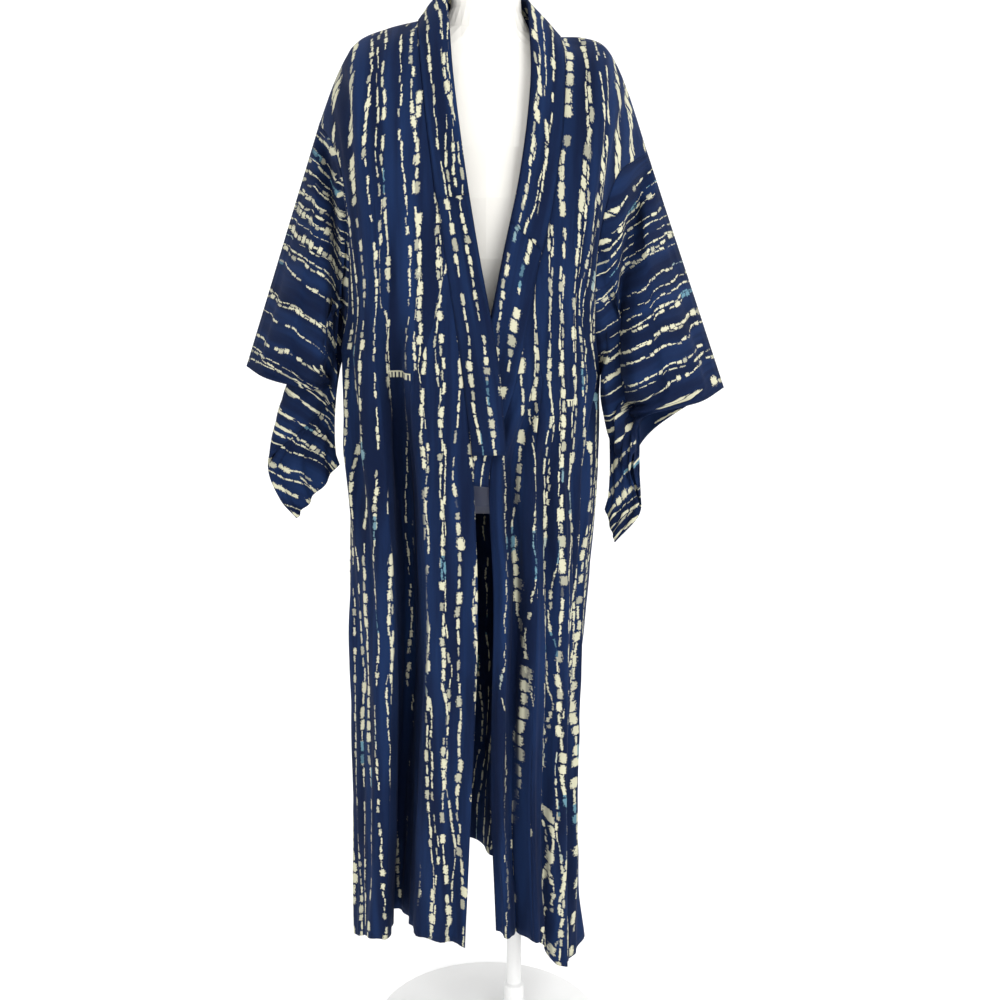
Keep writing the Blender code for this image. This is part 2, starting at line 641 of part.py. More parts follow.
class Cloth:
    """All the panels' points and faces together, so that seams share their points."""

    def __init__(self):
        self.points = []
        self.panels = {}

    def add_points(self, grid):
        """Adds a grid of points and returns their numbers in the same grid."""
        flat = grid.reshape(-1, 3)
        first = len(self.points)
        self.points.extend(flat)
        return np.arange(first, first + len(flat)).reshape(grid.shape[:-1])

    def add_panel(self, name, numbers, flip):
        """Adds the faces of a grid of point numbers to a panel."""
        faces = self.panels.setdefault(name, [])
        for i in range(numbers.shape[0] - 1):
            for j in range(numbers.shape[1] - 1):
                face = [numbers[i, j], numbers[i, j + 1], numbers[i + 1, j + 1], numbers[i + 1, j]]
                face = [n for k, n in enumerate(face) if n != face[k - 1]]
                faces.append(face[::-1] if flip else face)

    def normals(self):
        """Offset direction of every point: midway between the panels that meet there,
        and longer at a sharp fold so that the walls keep their thickness."""
        points = np.array(self.points)
        _, place = np.unique(np.round(points, 6), axis=0, return_inverse=True)
        place = place.ravel()
        total = np.zeros_like(points)
        own = {}
        for name, faces in self.panels.items():
            part = np.zeros_like(points)
            for face in faces:
                part[face] += face_normal(points, face)
            part /= np.maximum(np.linalg.norm(part, axis=1), 1e-12)[:, None]
            own[name] = part
            np.add.at(total, place, part)
        total = total[place]
        total /= np.maximum(np.linalg.norm(total, axis=1), 1e-12)[:, None]
        lean = np.ones(len(points))
        for part in own.values():
            used = np.linalg.norm(part, axis=1) > 0.5
            lean[used] = np.minimum(lean[used], np.sum(part * total, axis=1)[used])
        return total / np.clip(lean, MITRE_LIMIT, 1.0)[:, None]

    def inset(self, name):
        """A panel's own points, its edges drawn in by half the seam gap."""
        points = np.array(self.points)
        faces = self.panels[name]
        edges = {}
        for face in faces:
            for k, n in enumerate(face):
                key = frozenset((n, face[k - 1]))
                edges[key] = edges.get(key, 0) + 1
        rim = {n for key, count in edges.items() if count == 1 for n in key}
        pull = {}
        for face in faces:
            middle = points[face].mean(axis=0)
            for n in face:
                if n in rim:
                    pull.setdefault(n, []).append(middle)
        moved = {}
        for n, middles in pull.items():
            way = np.mean(middles, axis=0) - points[n]
            moved[n] = points[n] + way / max(np.linalg.norm(way), 1e-9) * SEAM_GAP * 0.8
        return moved


def wall_object(name, sheet, faces, outward, wall, material):
    """A closed wall: the sheet moved out and in by half the wall, joined at its rim."""
    used = sorted({n for face in faces for n in face})
    place = {n: k for k, n in enumerate(used)}
    mesh = bpy.data.meshes.new(name)
    solid = bmesh.new()
    layers = []
    for sign in (0.5, -0.5):
        layers.append([solid.verts.new(sheet[n] + outward[n] * wall * sign) for n in used])
    rim = {}
    for face in faces:
        solid.faces.new([layers[0][place[n]] for n in face])
        solid.faces.new([layers[1][place[n]] for n in reversed(face)])
        for k, n in enumerate(face):
            before = face[k - 1]
            rim[(before, n)] = (n, before) not in rim and (before, n) not in rim
    for a, b in [key for key in rim if (key[1], key[0]) not in rim]:
        outer_a, outer_b = layers[0][place[a]], layers[0][place[b]]
        inner_a, inner_b = layers[1][place[a]], layers[1][place[b]]
        solid.faces.new([outer_b, outer_a, inner_a, inner_b])
    bmesh.ops.triangulate(solid, faces=solid.faces[:])
    solid.to_mesh(mesh)
    solid.free()
    mesh.shade_smooth()
    mesh.materials.append(material)
    obj = bpy.data.objects.new(name, mesh)
    bpy.context.scene.collection.objects.link(obj)
    return obj


def collar_grid(side, seam):
    """Points across the collar, from its seam to its free edge, along one side."""
    rows = np.arange(ROW_COLLAR_END, ROW_RIDGE + NECK_COLUMNS + 1)
    edge = flowing_curve(COLLAR_EDGES[side], rows)
    grid = []
    for k in range(COLLAR_COLUMNS + 1):
        t = k / COLLAR_COLUMNS
        grid.append(seam * (1 - t) + edge * t)
    return np.array(grid).transpose(1, 0, 2)


def make_cloth():
    """Lays out every panel over shared seam points."""
    cloth = Cloth()
    seams, centre_back = {}, None
    for side in ("right", "left"):
        flip = side == "right"
        front_low, back_low = low_rows(side)
        front_high = high_front(side, front_low[-1])
        back_high = high_back(side, back_low[-1], back_low[-1, 0])
        front = np.concatenate([front_low, front_high[1:]])
        back = np.concatenate([back_low, back_high[1:]])
        front_ids = cloth.add_points(front)
        back_ids = cloth.add_points(back)
        # The overlap panel ends in a point at its tip
        front_ids[ROW_TIP:, :OVERLAP_COLUMNS] = front_ids[ROW_TIP:, OVERLAP_COLUMNS][:, None]
        # Front and back are one cloth over the ridge
        back_ids[-1, NECK_COLUMNS:] = front_ids[-1, OVERLAP_COLUMNS:]
        if centre_back is None:
            centre_back = back_ids[:, 0]
        back_ids[:, 0] = centre_back
        body = "body_" + side
        cloth.add_panel("overlap_" + side, front_ids[: ROW_TIP + 1, : OVERLAP_COLUMNS + 1], flip)
        cloth.add_panel(body, front_ids[:, OVERLAP_COLUMNS:], flip)
        cloth.add_panel(body, back_ids, not flip)
        seam_ids = np.concatenate(
            [
                front_ids[ROW_COLLAR_END : ROW_TIP + 1, 0],
                front_ids[ROW_TIP + 1 :, OVERLAP_COLUMNS],
                back_ids[-1, NECK_COLUMNS - 1 :: -1],
            ]
        )
        seams[side] = seam_ids
        # Sleeve, sharing the armhole's points
        edge_front, edge_back = front_ids[ROW_ARMPIT:, -1], back_ids[ROW_ARMPIT:, -1]
        points = np.array(cloth.points)
        grid = sleeve_grid(side, points[edge_front], points[edge_back])
        ids = cloth.add_points(grid)
        ids[0, SLEEVE_TAIL:-SLEEVE_TAIL] = np.concatenate([edge_front, edge_back[::-1][1:]])
        cloth.add_panel("sleeve_" + side, ids, not flip)
        cloth.add_panel("sleeve_" + side, ids[:, [-1, 0]], not flip)
    collar_ids = []
    points = np.array(cloth.points)
    for side in ("right", "left"):
        grid = collar_grid(side, points[seams[side]])
        ids = cloth.add_points(grid)
        ids[:, 0] = seams[side]
        collar_ids.append(ids)
    collar_ids[1][-1] = collar_ids[0][-1]
    band = np.concatenate([collar_ids[0], collar_ids[1][-2::-1]])
    cloth.add_panel("collar", band, False)
    first = OVER_COLLAR_END_ROW["right"] - ROW_COLLAR_END
    last = len(band) - (OVER_COLLAR_END_ROW["left"] - ROW_COLLAR_END)
    cloth.add_panel("over_collar", band[first:last], False)
    return cloth


def build_cloth():
    cloth = make_cloth()
    over = cloth.panels.pop("over_collar")
    outward = cloth.normals()
    material = finish("indigo_cotton")
    for name, faces in cloth.panels.items():
        sheet = {n: cloth.points[n] for face in faces for n in face}
        sheet.update(cloth.inset(name))
        wall_object(name, sheet, faces, outward, COLLAR_WALL if name == "collar" else CLOTH, material)
    rise = (COLLAR_WALL + OVER_COLLAR_WALL) / 2 + LAID_GAP
    cloth.panels["over_collar"] = over
    sheet = {n: cloth.points[n] for face in over for n in face}
    sheet.update(cloth.inset("over_collar"))
    sheet = {n: p + outward[n] * rise for n, p in sheet.items()}
    wall_object("over_collar", sheet, over, outward, OVER_COLLAR_WALL, material)


def lathe_object(name, rings, material):
    """A closed body from rings of points, each ring one height."""
    mesh = bpy.data.meshes.new(name)
    solid = bmesh.new()
    loops = []
    for ring in rings:
        verts = [solid.verts.new(p) for p in ring]
        loops.append([solid.edges.new((verts[k - 1], verts[k])) for k in range(len(verts))])
    for below, above in zip(loops, loops[1:]):
        bmesh.ops.bridge_loops(solid, edges=below + above)
    for loop in (loops[0], loops[-1]):
        bmesh.ops.contextual_create(solid, geom=loop)
    bmesh.ops.recalc_face_normals(solid, faces=solid.faces[:])
    bmesh.ops.triangulate(solid, faces=solid.faces[:])
    solid.to_mesh(mesh)
    solid.free()
    mesh.shade_smooth()
    mesh.materials.append(material)
    obj = bpy.data.objects.new(name, mesh)
    bpy.context.scene.collection.objects.link(obj)
    return obj


def oval_ring(section, sides):
    turn = np.linspace(0, 2 * math.pi, sides, endpoint=False)
    power = 2 / section.roundness
    x = section.half_width * signed_power(np.cos(turn), power)
    y = section.y + section.half_depth * signed_power(np.sin(turn), power)
    rise = float(np.clip((section.z - FORM_TILT_FROM) / FORM_TILT_OVER, 0, 1))
    return np.stack([x, y, section.z + rise * (FORM_LIFT - FORM_TILT * x)], 1)


def round_ring(radius, z, x, y, sides):
    turn = np.linspace(0, 2 * math.pi, sides, endpoint=False)
    return np.stack([x + radius * np.cos(turn), y + radius * np.sin(turn), np.full(sides, z)], 1)


def build_form():
    rings = [oval_ring(section, FORM_SIDES) for section in FORM_SECTIONS]
    lathe_object("dress_form", rings, finish("cream_lacquer"))


def build_stand():
    """Round base plate, a socket standing on it, and the pole up to the form."""
    metal = finish("white_metal")
    flat, rim = BASE_RADIUS - BASE_BEVEL, BASE_RADIUS
    profile = [(flat, 0.0), (rim, BASE_BEVEL), (rim, BASE_HEIGHT - BASE_BEVEL), (flat, BASE_HEIGHT)]
    rings = [round_ring(radius, z, 0.0, 0.0, BASE_SIDES) for radius, z in profile]
    lathe_object("stand_base", rings, metal)
    foot = BASE_HEIGHT + SEAM_GAP
    top = FORM_SECTIONS[0].z - SEAM_GAP
    socket_top = foot + SLEEVE_TUBE_HEIGHT
    profile = [
        (SLEEVE_TUBE_RADIUS, foot),
        (SLEEVE_TUBE_RADIUS, socket_top),
        (POLE_RADIUS, socket_top + 0.004),
        (POLE_RADIUS, top - 0.030),
        (SLEEVE_TUBE_RADIUS, top - 0.026),
        (SLEEVE_TUBE_RADIUS, top),
    ]
    rings = [round_ring(radius, z, POLE_X, POLE_Y, POLE_SIDES) for radius, z in profile]
    lathe_object("stand_pole", rings, metal)


def main():
    clear_scene()
    build_cloth()
    build_form()
    build_stand()


main()
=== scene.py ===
"""Looks of a cotton yukata hanging open on a limbless dress form.

The garment is laid out as it is cut: body panels that run from front hem over
the shoulder to back hem, front overlap panels, a collar band with an
over-collar, and sleeve bags.  Metres, +Z up, front towards -Y, and "right" is
the wearer's own right, at -X.
"""

from __future__ import annotations

import logging
import math
from collections.abc import Callable, Sequence
from dataclasses import astuple, dataclass, field, replace
from enum import Enum

import bmesh
import bpy
import numpy as np
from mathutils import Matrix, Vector

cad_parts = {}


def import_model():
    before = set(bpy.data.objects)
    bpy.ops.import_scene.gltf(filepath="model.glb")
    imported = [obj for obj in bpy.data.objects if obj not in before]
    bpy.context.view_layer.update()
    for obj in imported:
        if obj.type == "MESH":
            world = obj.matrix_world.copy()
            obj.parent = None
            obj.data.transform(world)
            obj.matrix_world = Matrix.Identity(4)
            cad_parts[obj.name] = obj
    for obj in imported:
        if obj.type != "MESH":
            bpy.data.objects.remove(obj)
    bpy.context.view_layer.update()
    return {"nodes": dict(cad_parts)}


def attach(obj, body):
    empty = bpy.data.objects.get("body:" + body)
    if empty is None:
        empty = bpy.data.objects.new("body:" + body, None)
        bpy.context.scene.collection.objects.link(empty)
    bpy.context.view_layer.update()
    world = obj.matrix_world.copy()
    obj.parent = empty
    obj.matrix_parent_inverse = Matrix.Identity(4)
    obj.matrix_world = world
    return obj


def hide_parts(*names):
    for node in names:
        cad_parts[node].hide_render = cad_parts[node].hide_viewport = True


LOG = logging.getLogger("yukata")

Pair = tuple[float, float]
Triple = tuple[float, float, float]
Colour = tuple[float, float, float]

# Sizes of the cut in metres, as in the part's own source
OVERLAP_WIDTH = 0.15
FRONT_WIDTH = 0.27
NECK_HALF = 0.09
PANEL_WIDTH = 0.36
ARMHOLE_DROP = 0.40
SLEEVE_DROP = 0.49
SLEEVE_WIDTH = 0.36
CUFF_OPENING = 0.25
COLLAR_WIDTH = 0.055

# Rows of the part's solids up each side, read here at fractions of a row
ROW_COLLAR_END = 12
ROW_ARMPIT = 15
ROW_TIP = 19
ROW_RIDGE = 27
NECK_ROWS = 3
FINE = 5  # rows of the visual cloth for each row of the solids
LOW_ROWS = np.linspace(0, ROW_ARMPIT, ROW_ARMPIT * FINE + 1)
HIGH_ROWS = np.linspace(ROW_ARMPIT, ROW_RIDGE, (ROW_RIDGE - ROW_ARMPIT) * FINE + 1)

# Columns of the visual cloth
OVERLAP_COLUMNS = 24
FRONT_COLUMNS = 56
NECK_COLUMNS = NECK_ROWS * FINE
COLLAR_POINTS = 13
OUTLINE_POINTS = 900
ACROSS_POINTS = 161
TINY = 1e-12
LEVEL = 1e-6  # points this near in height are level
WELD = 0.00005  # points of a panel this near are one

# What shapes both sides alike
BACK_NECK = (0.000, 0.092, 1.652)
PLEAT_LEVELS = (0.25, 0.60, 0.95, 1.17)
SIDE_SEAM_Y = 0.0
ARMPIT_PARTING = 0.002
TAIL_SWING = 0.012
CHEST_EASE = 0.060
BACK_EASE = 0.072
CENTRE_BACK_EASE = 0.030
SHOULDER_ROUNDNESS = 2.6


class Side(Enum):
    """The wearer's right or left."""

    RIGHT = "right"
    LEFT = "left"

    @property
    def out(self) -> float:
        """Sign of X on this side."""
        return -1.0 if self is Side.RIGHT else 1.0


class Face(Enum):
    """Front or back layer of a sleeve, with the sign of Y on it."""

    FRONT = -1.0
    BACK = 1.0


@dataclass(frozen=True)
class Level:
    """Plan outline of one side of the robe at one height."""

    z: float
    x_side: float
    x_edge: float
    y_front: float
    y_back: float
    middle: float
    squareness: float


@dataclass(frozen=True)
class Pleat:
    """A soft pleat down the skirt: depths at four heights, positive inwards.

    It is pushed along the cloth's own normal, or in plan along its way, and a breadth
    over 1 gives it a flatter bottom.
    """

    place: float
    half_width: float
    depths: tuple[float, float, float, float]
    way: Pair | None = None
    breadth: float = 1.0


@dataclass(frozen=True)
class Spot:
    """A point of a guiding curve, at a value of the curve's own parameter."""

    at: float
    x: float
    y: float
    z: float


Curve = tuple[Spot, ...]


@dataclass(frozen=True)
class Crease:
    """A fold on the flat sleeve, from (u0, v0) to (u1, v1), positive inwards."""

    u0: float
    v0: float
    u1: float
    v1: float
    half_width: float
    depth: float


@dataclass(frozen=True)
class Seeds:
    """What sets a panel's small folds, and how far its dashes are shifted."""

    folds: int
    dashes: float


@dataclass(frozen=True)
class SidePlan:
    """Everything that shapes one side of the robe.

    The hem holds heights at shares of the way from the front edge to the centre back.
    The grain is measured from the reference, an x. The tuck is a stitched mark's x, z
    and length, and the valley's place is how far from the body it runs down the sleeve.
    """

    side: Side
    levels: tuple[Level, ...]
    hem: tuple[Pair, ...]
    pleats: tuple[Pleat, ...]
    folds: tuple[Pleat, ...]
    armpit_z: float
    collar_end_z: float
    collar_seam: Curve
    collar_edge: Curve
    over_collar_row: float
    ridge: Curve
    armhole_front: Curve
    armhole_back: Curve
    sleeve_tail: Triple
    cuff_front: Curve
    cuff_back: Curve
    creases: dict[Face, tuple[Crease, ...]]
    reference: float
    tuck: Triple
    valley_place: float
    body: Seeds
    overlap: Seeds
    sleeve: Seeds


def spots(*rows: tuple[float, float, float, float]) -> Curve:
    """Spots of a guiding curve, from rows of at, x, y and z."""
    return tuple(Spot(*row) for row in rows)


BACK_CREASES = (
    Crease(0.00, 0.10, 0.90, 0.20, 0.040, 0.008),
    Crease(0.10, 0.24, 0.90, 0.34, 0.030, -0.005),
)

RIGHT_PLAN = SidePlan(
    side=Side.RIGHT,
    levels=(
        Level(0.25, -0.222, -0.036, -0.130, 0.150, -0.034, 2.5),
        Level(0.50, -0.219, -0.024, -0.135, 0.150, -0.034, 2.5),
        Level(0.80, -0.218, -0.013, -0.145, 0.148, -0.032, 2.5),
        Level(1.03, -0.220, -0.021, -0.152, 0.140, -0.028, 2.5),
        Level(1.17, -0.222, -0.037, -0.150, 0.130, -0.024, 2.4),
    ),
    hem=((0.0, 0.213), (0.10, 0.228), (0.275, 0.206), (0.46, 0.210), (0.60, 0.176), (1.0, 0.278)),
    pleats=(
        Pleat(0.107, 0.029, (0.130, 0.122, 0.086, 0.034), (-0.07, 1.0), 1.7),
        Pleat(0.045, 0.030, (-0.006, -0.008, -0.004, 0.000)),
        Pleat(0.158, 0.026, (-0.012, -0.010, -0.006, -0.004)),
        Pleat(0.300, 0.035, (0.018, 0.012, 0.006, 0.000)),
        Pleat(0.385, 0.035, (-0.020, -0.016, -0.008, 0.000)),
        Pleat(0.450, 0.030, (0.026, 0.020, 0.008, 0.000)),
    ),
    armpit_z=1.17,
    collar_end_z=1.03,
    collar_seam=spots(
        (15, -0.037, -0.150, 1.170), (17, -0.048, -0.146, 1.250), (19, -0.060, -0.140, 1.330),
        (21.5, -0.075, -0.126, 1.430), (24, -0.090, -0.096, 1.550), (25.8, -0.099, -0.050, 1.640),
        (27, -0.101, 0.012, 1.672),
    ),
    collar_edge=spots(
        (12, 0.030, -0.168, 1.034), (15, 0.020, -0.169, 1.160), (17, 0.006, -0.163, 1.245),
        (19, -0.009, -0.152, 1.325), (21.5, -0.028, -0.136, 1.440), (24, -0.047, -0.094, 1.580),
        (25.8, -0.055, -0.040, 1.670), (27, -0.059, 0.016, 1.726), (28.5, -0.046, 0.072, 1.724),
        (30, 0.000, 0.090, 1.716),
    ),
    over_collar_row=21,
    ridge=spots(
        (0.00, -0.101, 0.012, 1.672), (0.22, -0.150, 0.010, 1.660), (0.42, -0.196, 0.008, 1.640),
        (0.60, -0.224, 0.006, 1.598), (1.00, -0.256, 0.004, 1.520),
    ),
    armhole_front=spots(
        (0.0, -0.224, 0.000, 1.170), (0.3, -0.208, -0.088, 1.262), (0.6, -0.207, -0.094, 1.385),
        (0.85, -0.224, -0.068, 1.476), (1.0, -0.256, 0.004, 1.520),
    ),
    armhole_back=spots(
        (0.0, -0.224, 0.000, 1.170), (0.3, -0.226, 0.068, 1.260), (0.6, -0.234, 0.080, 1.380),
        (0.85, -0.246, 0.052, 1.478), (1.0, -0.256, 0.004, 1.520),
    ),
    sleeve_tail=(-0.236, -0.008, 0.990),
    cuff_front=spots(
        (0.00, -0.381, 0.004, 1.146), (0.05, -0.345, -0.044, 1.134), (0.11, -0.285, -0.062, 1.120),
        (0.17, -0.236, -0.060, 1.106), (0.22, -0.262, -0.040, 1.078), (0.30, -0.335, -0.026, 1.012),
        (0.35, -0.348, -0.024, 0.985), (0.43, -0.330, -0.022, 0.935), (0.49, -0.306, -0.020, 0.905),
    ),
    cuff_back=spots(
        (0.00, -0.381, 0.004, 1.146), (0.06, -0.350, 0.048, 1.126), (0.14, -0.300, 0.046, 1.098),
        (0.20, -0.285, 0.010, 1.070), (0.25, -0.290, -0.034, 1.053),
    ),
    creases={
        Face.FRONT: (
            Crease(0.00, 0.12, 1.10, 0.30, 0.050, 0.009),
            Crease(0.05, 0.05, 0.95, 0.02, 0.020, 0.004),
            Crease(0.10, 0.20, 0.80, 0.14, 0.022, -0.005),
            Crease(0.15, 0.34, 0.90, 0.38, 0.025, 0.006),
        ),
        Face.BACK: BACK_CREASES,
    },
    tuck=(-0.131, 1.151, 0.038),
    valley_place=0.012,
    reference=0.150,
    body=Seeds(3, 4.11),
    overlap=Seeds(7, 15.129),
    sleeve=Seeds(41, 2.7),
    folds=(
        Pleat(0.022, 0.018, (0.006, 0.005, 0.003, 0.000)),
        Pleat(0.205, 0.018, (0.008, 0.006, 0.004, 0.002)),
        Pleat(0.245, 0.018, (-0.007, -0.006, -0.004, 0.000)),
    ),
)

LEFT_PLAN = SidePlan(
    side=Side.LEFT,
    levels=(
        Level(0.25, 0.152, 0.014, -0.118, 0.150, -0.034, 2.6),
        Level(0.50, 0.150, 0.006, -0.128, 0.150, -0.034, 2.6),
        Level(0.80, 0.160, 0.011, -0.138, 0.148, -0.032, 2.6),
        Level(0.98, 0.170, 0.004, -0.143, 0.140, -0.028, 2.5),
        Level(1.14, 0.178, 0.045, -0.141, 0.130, -0.024, 2.4),
    ),
    hem=(
        (0.0, 0.232), (0.10, 0.218), (0.18, 0.214), (0.22, 0.193), (0.27, 0.160),
        (0.33, 0.148), (0.43, 0.133), (0.47, 0.141), (0.60, 0.185), (1.0, 0.278),
    ),
    pleats=(
        Pleat(0.035, 0.026, (0.008, 0.012, 0.010, 0.004)),
        Pleat(0.100, 0.034, (-0.012, -0.008, -0.006, -0.004)),
        Pleat(0.172, 0.024, (0.020, 0.022, 0.016, 0.010)),
        Pleat(0.235, 0.034, (-0.016, 0.006, -0.008, 0.000)),
        Pleat(0.310, 0.030, (0.034, 0.024, 0.010, 0.000)),
        Pleat(0.375, 0.032, (-0.026, -0.018, -0.008, 0.000)),
        Pleat(0.440, 0.030, (0.034, 0.026, 0.010, 0.000)),
    ),
    armpit_z=1.14,
    collar_end_z=0.98,
    collar_seam=spots(
        (15, 0.045, -0.141, 1.140), (17, 0.060, -0.138, 1.215), (19, 0.074, -0.134, 1.290),
        (21.5, 0.098, -0.122, 1.400), (24, 0.114, -0.094, 1.520), (25.8, 0.117, -0.050, 1.610),
        (27, 0.111, 0.012, 1.648),
    ),
    collar_edge=spots(
        (12, -0.035, -0.148, 0.985), (15, -0.012, -0.149, 1.150), (17, 0.008, -0.146, 1.240),
        (19, 0.026, -0.140, 1.330), (21.5, 0.051, -0.126, 1.450), (24, 0.066, -0.088, 1.575),
        (25.8, 0.065, -0.036, 1.655), (27, 0.060, 0.016, 1.702), (28.5, 0.044, 0.072, 1.712),
        (30, 0.000, 0.090, 1.716),
    ),
    over_collar_row=20,
    ridge=spots(
        (0.00, 0.111, 0.012, 1.648), (0.22, 0.150, 0.010, 1.646), (0.40, 0.182, 0.008, 1.632),
        (0.58, 0.209, 0.006, 1.585), (1.00, 0.248, 0.004, 1.476),
    ),
    armhole_front=spots(
        (0.0, 0.178, 0.000, 1.140), (0.3, 0.165, -0.090, 1.234), (0.6, 0.170, -0.096, 1.350),
        (0.85, 0.198, -0.074, 1.444), (1.0, 0.248, 0.004, 1.476),
    ),
    armhole_back=spots(
        (0.0, 0.178, 0.000, 1.140), (0.3, 0.186, 0.068, 1.228), (0.6, 0.204, 0.080, 1.345),
        (0.85, 0.230, 0.052, 1.438), (1.0, 0.248, 0.004, 1.476),
    ),
    sleeve_tail=(0.190, -0.012, 0.918),
    cuff_front=spots(
        (0.00, 0.377, 0.004, 1.112), (0.05, 0.338, -0.044, 1.098), (0.11, 0.290, -0.062, 1.088),
        (0.17, 0.246, -0.060, 1.074), (0.22, 0.236, -0.040, 1.035), (0.30, 0.232, -0.028, 0.985),
        (0.36, 0.238, -0.026, 0.955), (0.43, 0.244, -0.025, 0.912), (0.49, 0.206, -0.024, 0.866),
    ),
    cuff_back=spots(
        (0.00, 0.377, 0.004, 1.112), (0.06, 0.345, 0.048, 1.088), (0.14, 0.280, 0.046, 1.045),
        (0.20, 0.246, 0.010, 1.020), (0.25, 0.234, -0.034, 1.012),
    ),
    creases={
        Face.FRONT: (
            Crease(0.00, 0.10, 1.10, 0.26, 0.050, 0.011),
            Crease(0.05, 0.05, 0.95, 0.02, 0.020, 0.004),
            Crease(0.10, 0.20, 0.80, 0.14, 0.022, -0.005),
            Crease(0.10, 0.32, 0.90, 0.40, 0.025, 0.006),
        ),
        Face.BACK: BACK_CREASES,
    },
    tuck=(0.132, 1.107, 0.024),
    valley_place=0.034,
    reference=0.080,
    body=Seeds(5, 6.85),
    overlap=Seeds(9, 19.363),
    sleeve=Seeds(43, 4.7),
    folds=(
        Pleat(0.016, 0.013, (-0.015, -0.014, -0.011, 0.000)),
        Pleat(0.040, 0.013, (0.020, 0.018, 0.014, 0.002)),
        Pleat(0.064, 0.013, (-0.017, -0.016, -0.012, 0.000)),
        Pleat(0.090, 0.015, (0.020, 0.018, 0.012, 0.001)),
        Pleat(0.120, 0.015, (-0.012, -0.012, -0.008, 0.000)),
        Pleat(0.147, 0.014, (0.018, 0.016, 0.010, 0.001)),
    ),
)

# Curves


def smooth_curve(knots: Sequence[float], values: Sequence, at: np.ndarray) -> np.ndarray:
    """Cubic through knots whose slopes never overshoot.

    Args:
        knots: Rising parameter values.
        values: A value or row of values for each knot.
        at: Where to read the curve.

    Returns:
        The values at each place.
    """
    k, v = np.asarray(knots, float), np.asarray(values, float)
    at = np.clip(np.asarray(at, float), k[0], k[-1])
    step = np.diff(k)
    slope = np.diff(v, axis=0) / step.reshape((-1,) + (1,) * (v.ndim - 1))
    tangent = np.zeros_like(v)
    tangent[0], tangent[-1] = slope[0], slope[-1]
    before, after = slope[:-1], slope[1:]
    same_way = before * after > 0
    mean = 2 * before * after / np.where(same_way, before + after, 1.0)
    tangent[1:-1] = np.where(same_way, mean, 0.0)
    return hermite(k, v, tangent, at)


def flowing_curve(spots: Sequence[Spot], at: np.ndarray) -> np.ndarray:
    """Catmull-Rom curve through a table of spots.

    Args:
        spots: The curve's points.
        at: Where to read the curve.

    Returns:
        One point for each place.
    """
    k = np.array([s.at for s in spots], float)
    v = np.array([(s.x, s.y, s.z) for s in spots], float)
    tangent = np.zeros_like(v)
    tangent[1:-1] = (v[2:] - v[:-2]) / (k[2:] - k[:-2])[:, None]
    tangent[0] = (v[1] - v[0]) / (k[1] - k[0])
    tangent[-1] = (v[-1] - v[-2]) / (k[-1] - k[-2])
    return hermite(k, v, tangent, np.clip(np.asarray(at, float), k[0], k[-1]))


def hermite(k: np.ndarray, v: np.ndarray, tangent: np.ndarray, at: np.ndarray) -> np.ndarray:
    """Cubic Hermite curve from knots, values and tangents."""
    step = np.diff(k)
    i = np.clip(np.searchsorted(k, at, side="right") - 1, 0, len(step) - 1)
    shape = at.shape + (1,) * (v.ndim - 1)
    h = step[i].reshape(shape)
    t = ((at - k[i]) / step[i]).reshape(shape)
    return (
        v[i] * (1 + 2 * t) * (1 - t) ** 2
        + tangent[i] * h * t * (1 - t) ** 2
        + v[i + 1] * t * t * (3 - 2 * t)
        + tangent[i + 1] * h * t * t * (t - 1)
    )


def arc_shares(line: np.ndarray) -> np.ndarray:
    """Share of a polyline's length at each of its points."""
    lengths = np.linalg.norm(np.diff(line, axis=0), axis=1)
    return np.concatenate([[0.0], np.cumsum(lengths)]) / lengths.sum()


def read_at(rows: np.ndarray, along: np.ndarray, at: np.ndarray) -> np.ndarray:
    """Rows of numbers that are given along a line, read at other places on it."""
    return np.stack([np.interp(at, along, column) for column in rows.T], 1)


def shared_out(line: np.ndarray, shares: np.ndarray, carried: bool = False) -> np.ndarray:
    """Points of a polyline at shares of its length, with any numbers that they carry."""
    return read_at(line, arc_shares(line[:, :2] if carried else line), shares)


def signed_power(value: np.ndarray, power: float) -> np.ndarray:
    """A power that keeps the sign of its base."""
    return np.sign(value) * np.abs(value) ** power


def rounding(w: np.ndarray) -> np.ndarray:
    """What an oval's quarter adds to the straight line between its ends."""
    return (1 - w**SHOULDER_ROUNDNESS) ** (1 / SHOULDER_ROUNDNESS) - (1 - w)


def ramp(value: np.ndarray, low: float, high: float) -> np.ndarray:
    """Straight ramp from 0 at low to 1 at high."""
    return np.clip((value - low) / (high - low), 0, 1)


def smooth_ramp(value: np.ndarray, low: float, high: float) -> np.ndarray:
    """Smooth ramp from 0 at low to 1 at high."""
    t = ramp(value, low, high)
    return t * t * (3 - 2 * t)


def grid_normals(grid: np.ndarray) -> np.ndarray:
    """Unit normals of a grid of points."""
    normal = np.cross(np.gradient(grid, axis=0), np.gradient(grid, axis=1))
    return normal / np.maximum(np.linalg.norm(normal, axis=2), TINY)[:, :, None]


